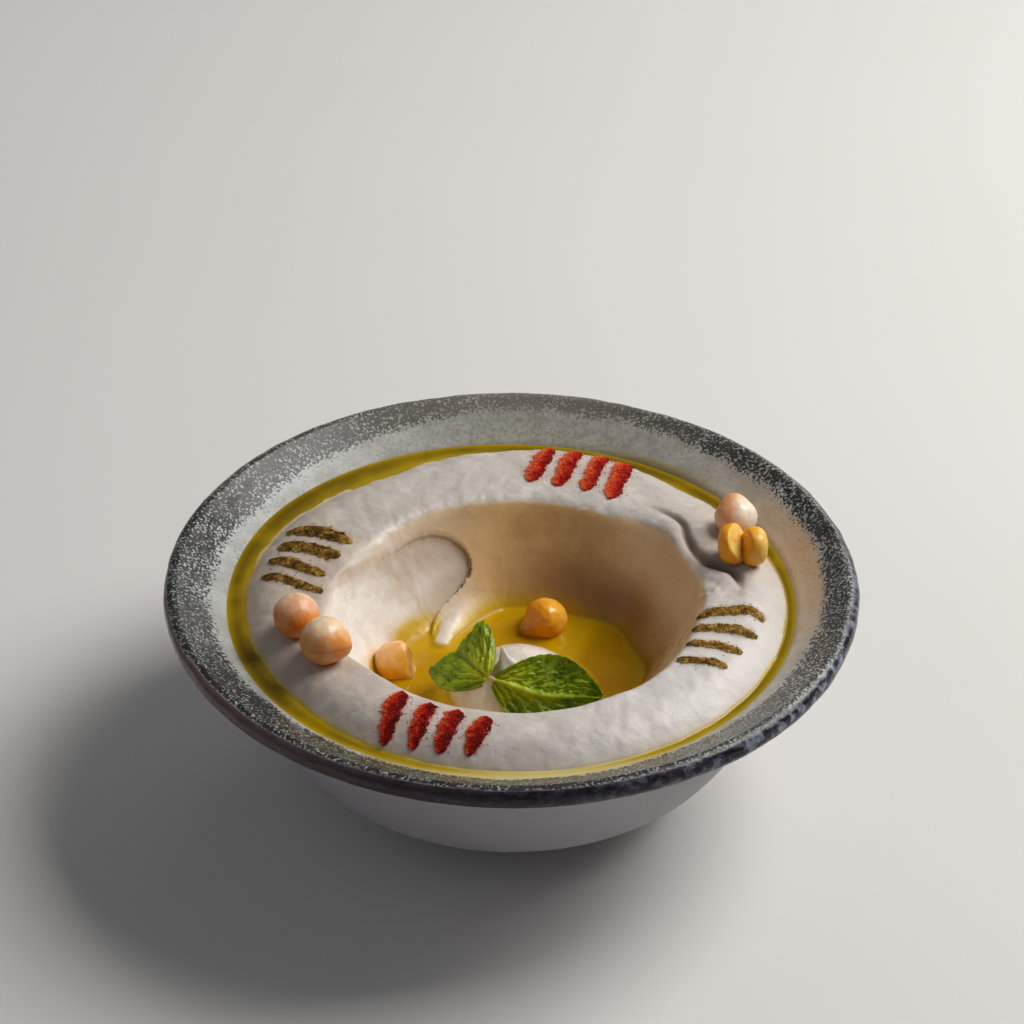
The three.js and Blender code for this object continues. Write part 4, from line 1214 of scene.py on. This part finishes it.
def make_split_chickpea():
    """A skinned chickpea whose two halves gape, so that the left one shows its inner face."""
    halves, faces = zip(half_ball(*LEFT_HALF), half_ball(*RIGHT_HALF))
    # Painted light on the right half towards its right, and painted shade on its inner face; the left half's
    # inner face is pale flesh.
    painted_light = ease(1.0, 5.5, halves[1][..., 0])
    marks = {
        "seam": np.stack((0 * faces[0], 0.35 * faces[1])),
        "pale": np.stack((0.85 * faces[0], 0.7 * painted_light * (1 - faces[1]))),
    }
    piece = ball_mesh(SPLIT_CHICKPEA + "_flesh", np.stack(halves) + np.array(SPLIT_MIDDLE), marks)
    flesh = chickpea_material("chickpea_flesh", (255, 174, 24), (255, 216, 120), blotch=0.12)
    dress(piece, flesh, "chickpea_yellow", SPLIT_CHICKPEA)


def make_chickpeas():
    for seed, (name, look) in enumerate(CHICKPEAS.items(), 1):
        make_chickpea(name, look, seed)
    make_split_chickpea()


# ---- Mint ----

LEAF_THICKNESS = 0.45
LEAF_ROWS, LEAF_COLUMNS = 160, 104
LEAF_TEETH = 12
STEM_PATH = ((-5.7, -20.0, 40.9), (-5.3, -20.4, 41.5), (-4.6, -20.8, 41.6), (-4.0, -20.9, 41.0))
STEM_RADIUS, STEM_SIDES = 0.6, 20
LEAVES = {
    "mint_leaf_left": {
        "stalk": (-5.4, -20.2, 41.3), "along": (-0.63, 0.775, 0.05), "across": (0.72, 0.28, 0.60),
        "length": 24.5, "widths": (9.7, 10.4), "bend_from": 0.51, "bend_to": 0.62, "bend": 1.8, "slant": 0.08,
        "fold": 0.12, "widest": (0.42, 0.46), "sway": 0.0, "veins": 5, "bright": 1.0, "seed": 1,
    },
    "mint_leaf_right": {
        "stalk": (-4.3, -20.6, 41.4), "along": (0.985, -0.076, -0.156), "across": (0.14, 0.64, 0.755),
        "length": 27.6, "widths": (9.4, 8.9), "bend_from": 0.6, "bend_to": 1, "bend": 0.25, "slant": 0.0,
        "fold": 0.12, "widest": (0.40, 0.53), "sway": 0.2, "veins": 6, "bright": 0.7, "seed": 2,
    },
}


def from_midrib(leaf, u, v):
    """The place across the leaf, counted from its midrib, which may sway to the front."""
    return v + leaf["sway"] * np.sin(np.pi * u) * (1 - v * v)


def leaf_points(leaf, u, v):
    """The leaf's plain surface: u runs from its stalk to its tip, and v from -1 to 1 across it."""
    along = unit(leaf["along"])
    across = np.array(leaf["across"], float)
    across = unit(across - along * (across @ along))
    up = np.cross(across, along)
    teeth = np.abs(np.sin(np.pi * LEAF_TEETH * u)) ** 0.7 - 0.5
    front, back = leaf["widest"]
    skew = math.log(0.5) / np.log(0.04 + 0.92 * np.where(v < 0, front, back))
    half = np.where(v < 0, *leaf["widths"]) * np.sin(np.pi * (0.04 + 0.92 * u) ** skew) ** 0.9
    half = half + 0.25 * np.abs(v) ** 5 * teeth * ease(0.05, 0.3, u)
    # The blade runs straight, bends down over a short stretch, and runs on straight.
    steps = np.linspace(-0.1, 1.1, 480)
    turned = leaf["bend"] * ease(leaf["bend_from"], leaf["bend_to"], steps)
    run = leaf["length"] * (steps[1] - steps[0])
    slant = leaf["slant"] * v
    reach = np.interp(u + slant, steps, np.cumsum(np.cos(turned)) * run) - (0.1 + slant) * leaf["length"]
    drop = np.interp(u + slant, steps, np.cumsum(np.sin(turned)) * run)
    side = v * half
    ripple = 0.35 * np.sin(13 * u + 2 * v) * np.abs(v)
    lift = leaf["fold"] * np.abs(from_midrib(leaf, u, v)) * half - drop + ripple
    moves = ((reach, along), (side, across), (lift, up))
    points = leaf["stalk"] + sum(amount[..., None] * way for amount, way in moves)
    floor = np.maximum(hummus_form(points[..., 0], points[..., 1]), POOL_Z) + 0.9
    points[..., 2] = np.maximum(points[..., 2], floor)
    return points


def leaf_relief(leaf, u, v):
    """Height over the leaf's plain surface, how near each place is to a vein, and how puffed it is."""
    along, side = u * leaf["length"], v * sum(leaf["widths"]) / 2
    v = from_midrib(leaf, u, v)
    seed = 50 + 10 * leaf["seed"]
    drift = rough((along, side, 0), (0.3, 3.2, seed), (0.16, 1.4, seed + 1))
    phase = (u - 0.32 * np.abs(v) - 0.06 * v * v) * leaf["veins"] + np.where(v > 0, 0.45, 0.0) + drift
    off_vein = np.abs(phase - np.round(phase)) * 2
    cross = np.abs(v) * 4.2 + 0.5 * np.floor(phase + 0.5) + 1.8 * drift + 0.5 * u
    off_cross = np.abs(cross - np.round(cross)) * 2
    away = ease(0.0, 0.16, np.abs(v)) * ease(1.02, 0.86, np.abs(v))
    puffs = off_vein**0.5 * (0.35 + 0.65 * off_cross**0.5)
    lean = along - 0.8 * np.abs(side)
    small = np.abs(value_noise(lean / 2.2, side, 0, 0.8, seed + 2))
    small += 0.5 * np.abs(value_noise(lean, side, 0, 0.6, seed + 3))
    midrib = (0.16 * bell(v, 0.045) - 0.22 * bell(v, 0.12)) * ease(1.0, 0.4, u)
    flat = 1 - 0.6 * bell(u - (leaf["bend_from"] + leaf["bend_to"]) / 2, 0.12) * (leaf["bend"] > 1)
    height = (1.3 * puffs + 0.3 * small) * away * flat + midrib
    fade = ease(1.0, 0.55, np.abs(v)) * ease(1.0, 0.7, u)
    vein = np.maximum(0.55 * bell(off_vein, 0.14) * fade, 0.3 * bell(off_cross, 0.15) * fade)
    return height, np.maximum(vein, 0.8 * bell(v, 0.04) * ease(0.9, 0.3, u)), puffs * (0.5 + small)


def leaf_material():
    soft = {"Subsurface_Weight": 0.12, "Subsurface_Scale": 0.002}
    leaf = Material("mint_leaf", IOR=1.45, Specular_IOR_Level=0.35, **soft)
    leaf.shader.inputs["Subsurface Radius"].default_value = (0.4, 1.0, 0.1)
    fields = leaf.mix(leaf.remap(leaf.noise(4, 3), 0.35, 0.65), (88, 120, 4), (138, 164, 10))
    # Painted shade in the creases between the puffs, and painted light on their tops.
    fields = leaf.mix(leaf.remap(leaf.mark("puff_painted_light"), 0.02, 0.4), (54, 82, 2), fields)
    colour = leaf.tint(fields, ("base", 1, (190, 200, 34)), ("vein", 0.6, (176, 194, 74)))
    leaf.set("Base Color", colour)
    leaf.set("Roughness", leaf.remap(leaf.noise(2, 3), 0.35, 0.65, 0.32, 0.5))
    leaf.set("Normal", leaf.bump(leaf.noise(0.6, 4, 0.6), 0.35, 0.12))
    return leaf.data


def make_leaf(name, material):
    leaf = LEAVES[name]
    u, v = np.meshgrid(np.linspace(0, 1, LEAF_ROWS), np.linspace(-1, 1, LEAF_COLUMNS), indexing="ij")
    blade = leaf_points(leaf, u, v)
    normal = np.cross(np.gradient(blade, axis=1), np.gradient(blade, axis=0))
    normal /= np.linalg.norm(normal, axis=-1, keepdims=True)
    height, vein, puff_painted_light = leaf_relief(leaf, u, v)
    raised = blade + normal * height[..., None]
    top, back = ((raised + side * normal * LEAF_THICKNESS / 2).reshape(-1, 3) for side in (1, -1))
    near_stalk = np.clip(1.4 * bell(np.hypot(u * 1.3, v * 0.6 - 0.15), 0.42), 0, 1)
    # How puffed each place is, which sets its painted light and shade.
    marks = {"vein": vein.ravel(), "puff_painted_light": puff_painted_light.ravel(), "base": leaf["bright"] * near_stalk.ravel()}
    piece = closed_sheet(name + "_blade", top, back, grid_faces(LEAF_ROWS, LEAF_COLUMNS), marks)
    dress(piece, material, "mint", name)


def make_stem(material):
    """The short stem at which both leaves meet."""
    path = curve_through(STEM_PATH, 8)
    turn = angles_round(STEM_SIDES)
    share = np.linspace(0, 1, len(path))
    radius = STEM_RADIUS * np.sqrt(np.clip(1 - (2 * share - 1) ** 6, 0, 1))
    ahead = np.gradient(path, axis=0)
    ahead /= np.linalg.norm(ahead, axis=1, keepdims=True)
    side = np.cross(ahead, (0, 0, 1.0))
    side /= np.linalg.norm(side, axis=1, keepdims=True)
    up = np.cross(side, ahead)
    circle = np.cos(turn)[None, :, None] * side[:, None] + np.sin(turn)[None, :, None] * up[:, None]
    dress(ball_mesh("mint_stem", path[:, None] + radius[:, None, None] * circle), material, "mint")


def stem_material():
    stem = Material("mint_stem_skin", Roughness=0.5, Subsurface_Weight=0.3, Subsurface_Scale=0.002)
    stem.set("Base Color", stem.mix(stem.noise(1.5, 3), (206, 176, 132), (168, 168, 92)))
    stem.set("Normal", stem.bump(stem.noise(0.8, 3), 0.4, 0.15))
    return stem.data


def make_mint():
    material = leaf_material()
    for name in LEAVES:
        make_leaf(name, material)
    make_stem(stem_material())


# ---- Ground spice ----

# A grain is an uneven body of six corners and eight faces.
GRAIN_CORNERS = np.array([(0, 0, 1), (1, 0, 0), (0, 1, 0), (-1, 0, 0), (0, -1, 0), (0, 0, -1)], float)
GRAIN_FACES = np.array([
    (0, 1, 2), (0, 2, 3), (0, 3, 4), (0, 4, 1), (5, 2, 1), (5, 3, 2), (5, 4, 3), (5, 1, 4),
])
STRAY_SHARE = 0.07
PAPRIKA_TONES = ((104, 4, 1), (188, 16, 4), (228, 50, 16), (250, 128, 72))
CUMIN_TONES = ((66, 42, 8), (122, 88, 24), (176, 134, 44), (230, 192, 108))


def random_turns(rng, count):
    """Rotation matrices, evenly random."""
    q = rng.normal(size=(count, 4))
    w, x, y, z = (q / np.linalg.norm(q, axis=1, keepdims=True)).T
    rows = (
        (1 - 2 * (y * y + z * z), 2 * (x * y - z * w), 2 * (x * z + y * w)),
        (2 * (x * y + z * w), 1 - 2 * (x * x + z * z), 2 * (y * z - x * w)),
        (2 * (x * z - y * w), 2 * (y * z + x * w), 1 - 2 * (x * x + y * y)),
    )
    return np.moveaxis(np.array([np.stack(row) for row in rows]), -1, 0)


def stripe_places(rng, stripes, density, pile, shading):
    """Places for grains, piled along each stripe with some fallen beside it, and a tone for each.
    shading is how much lighter the grains are at the left side of a stripe, as painted light with painted
    shade on its right side, at its right end, in patches, behind the well, and at the bowl's right."""
    places, tones = [], []
    for line, width in stripes:
        path = curve_through(line, 12)
        run = run_along(path)
        count = int(density * width * run[-1])
        share = rng.uniform(0, 1, count)
        x, y = (np.interp(share * run[-1], run, path[:, k]) for k in (0, 1))
        ahead = path[-1] - path[0]
        ahead /= np.linalg.norm(ahead)
        taper = stripe_taper(line, share)
        stray = rng.uniform(0, 1, count) < STRAY_SHARE
        across = np.where(stray, rng.normal(0, 0.8, count), rng.uniform(-1, 1, count))
        # The two sides of a stripe are ragged in their own ways.
        flank = np.sign(across) * 40
        ragged = 0.24 * value_noise(x + flank, y, 0, 0.9, 61) + 0.16 * value_noise(x + flank, y, 0, 2.3, 63)
        side = across * width / 2 * taper * (1 + ragged)
        x, y = x - ahead[1] * side, y + ahead[0] * side
        lumpy = 0.8 + 0.45 * value_noise(x, y, 0, 1.0, 62)
        height = pile * lumpy * np.clip(1 - across**2, 0, 1) * rng.uniform(0.2, 1, count) ** 0.6
        places.append(stack_points(x, y, hummus_top(x, y) + SPICE_BED + np.where(stray, -0.15, height)))
        patches = value_noise(x, y, 0, 1.3, 64) + 0.7 * value_noise(x, y, 0, 0.6, 65)
        side_light, by_end, by_patch, behind, beside = shading
        # Painted light at the left side of a stripe and painted shade at its right side.
        tone = 0.42 - side_light * across + by_end * (share - 0.5) + by_patch * patches
        tones.append(tone + behind * (y > 0) + beside * (x > 0))
    return np.vstack(places), np.concatenate(tones)


def make_grains(name, grains, smallest, largest, rng, material, slot):
    """One mesh of turned, uneven grains at their places, each with its tone."""
    places, tones = grains
    count = len(places)
    size = rng.uniform(smallest, largest, (count, 1, 1)) * rng.uniform(0.6, 1.3, (count, 1, 3))
    lumps = rng.uniform(0.7, 1.2, (count, 6, 1))
    turned = np.einsum("nij,nkj->nki", random_turns(rng, count), GRAIN_CORNERS[None] * lumps * size)
    points = turned + places[:, None, :]
    faces = GRAIN_FACES[None] + 6 * np.arange(count)[:, None, None]
    tone = np.repeat(np.clip(tones + rng.uniform(-0.27, 0.27, count), 0, 1), 6)
    piece = make_mesh(name, points.reshape(-1, 3), faces.reshape(-1, 3), {"tone": tone})
    piece.data.polygons.foreach_set("use_smooth", np.zeros(len(piece.data.polygons), bool))
    dress(piece, material, slot)


def spice_material(name, tones):
    spice = Material(name, Roughness=0.7, Specular_IOR_Level=0.25)
    spice.set("Base Color", spice.ramp(spice.mark("tone"), *zip(np.linspace(0, 1, len(tones)), tones)))
    return spice.data


def make_spices():
    rng = np.random.default_rng(7)
    red, brown = spice_material("paprika_grain", PAPRIKA_TONES), spice_material("cumin_grain", CUMIN_TONES)
    grains = stripe_places(rng, RED_STRIPES, 29, 0.55, (0.55, 0.0, 0.22, 0.3, 0.0))
    make_grains("paprika_grains", grains, 0.11, 0.22, rng, red, "paprika")
    grains = stripe_places(rng, BROWN_STRIPES, 32, 0.45, (0.0, 0.2, 0.35, 0.0, 0.2))
    make_grains("cumin_grains", grains, 0.11, 0.23, rng, brown, "cumin")


# ---- The whole ----

make_camera()
make_floor()
make_light()
make_bowl()
make_hummus()
liquid = oil_material()
make_pool(liquid)
make_oil_ring(liquid)
make_chickpeas()
make_mint()
make_spices()
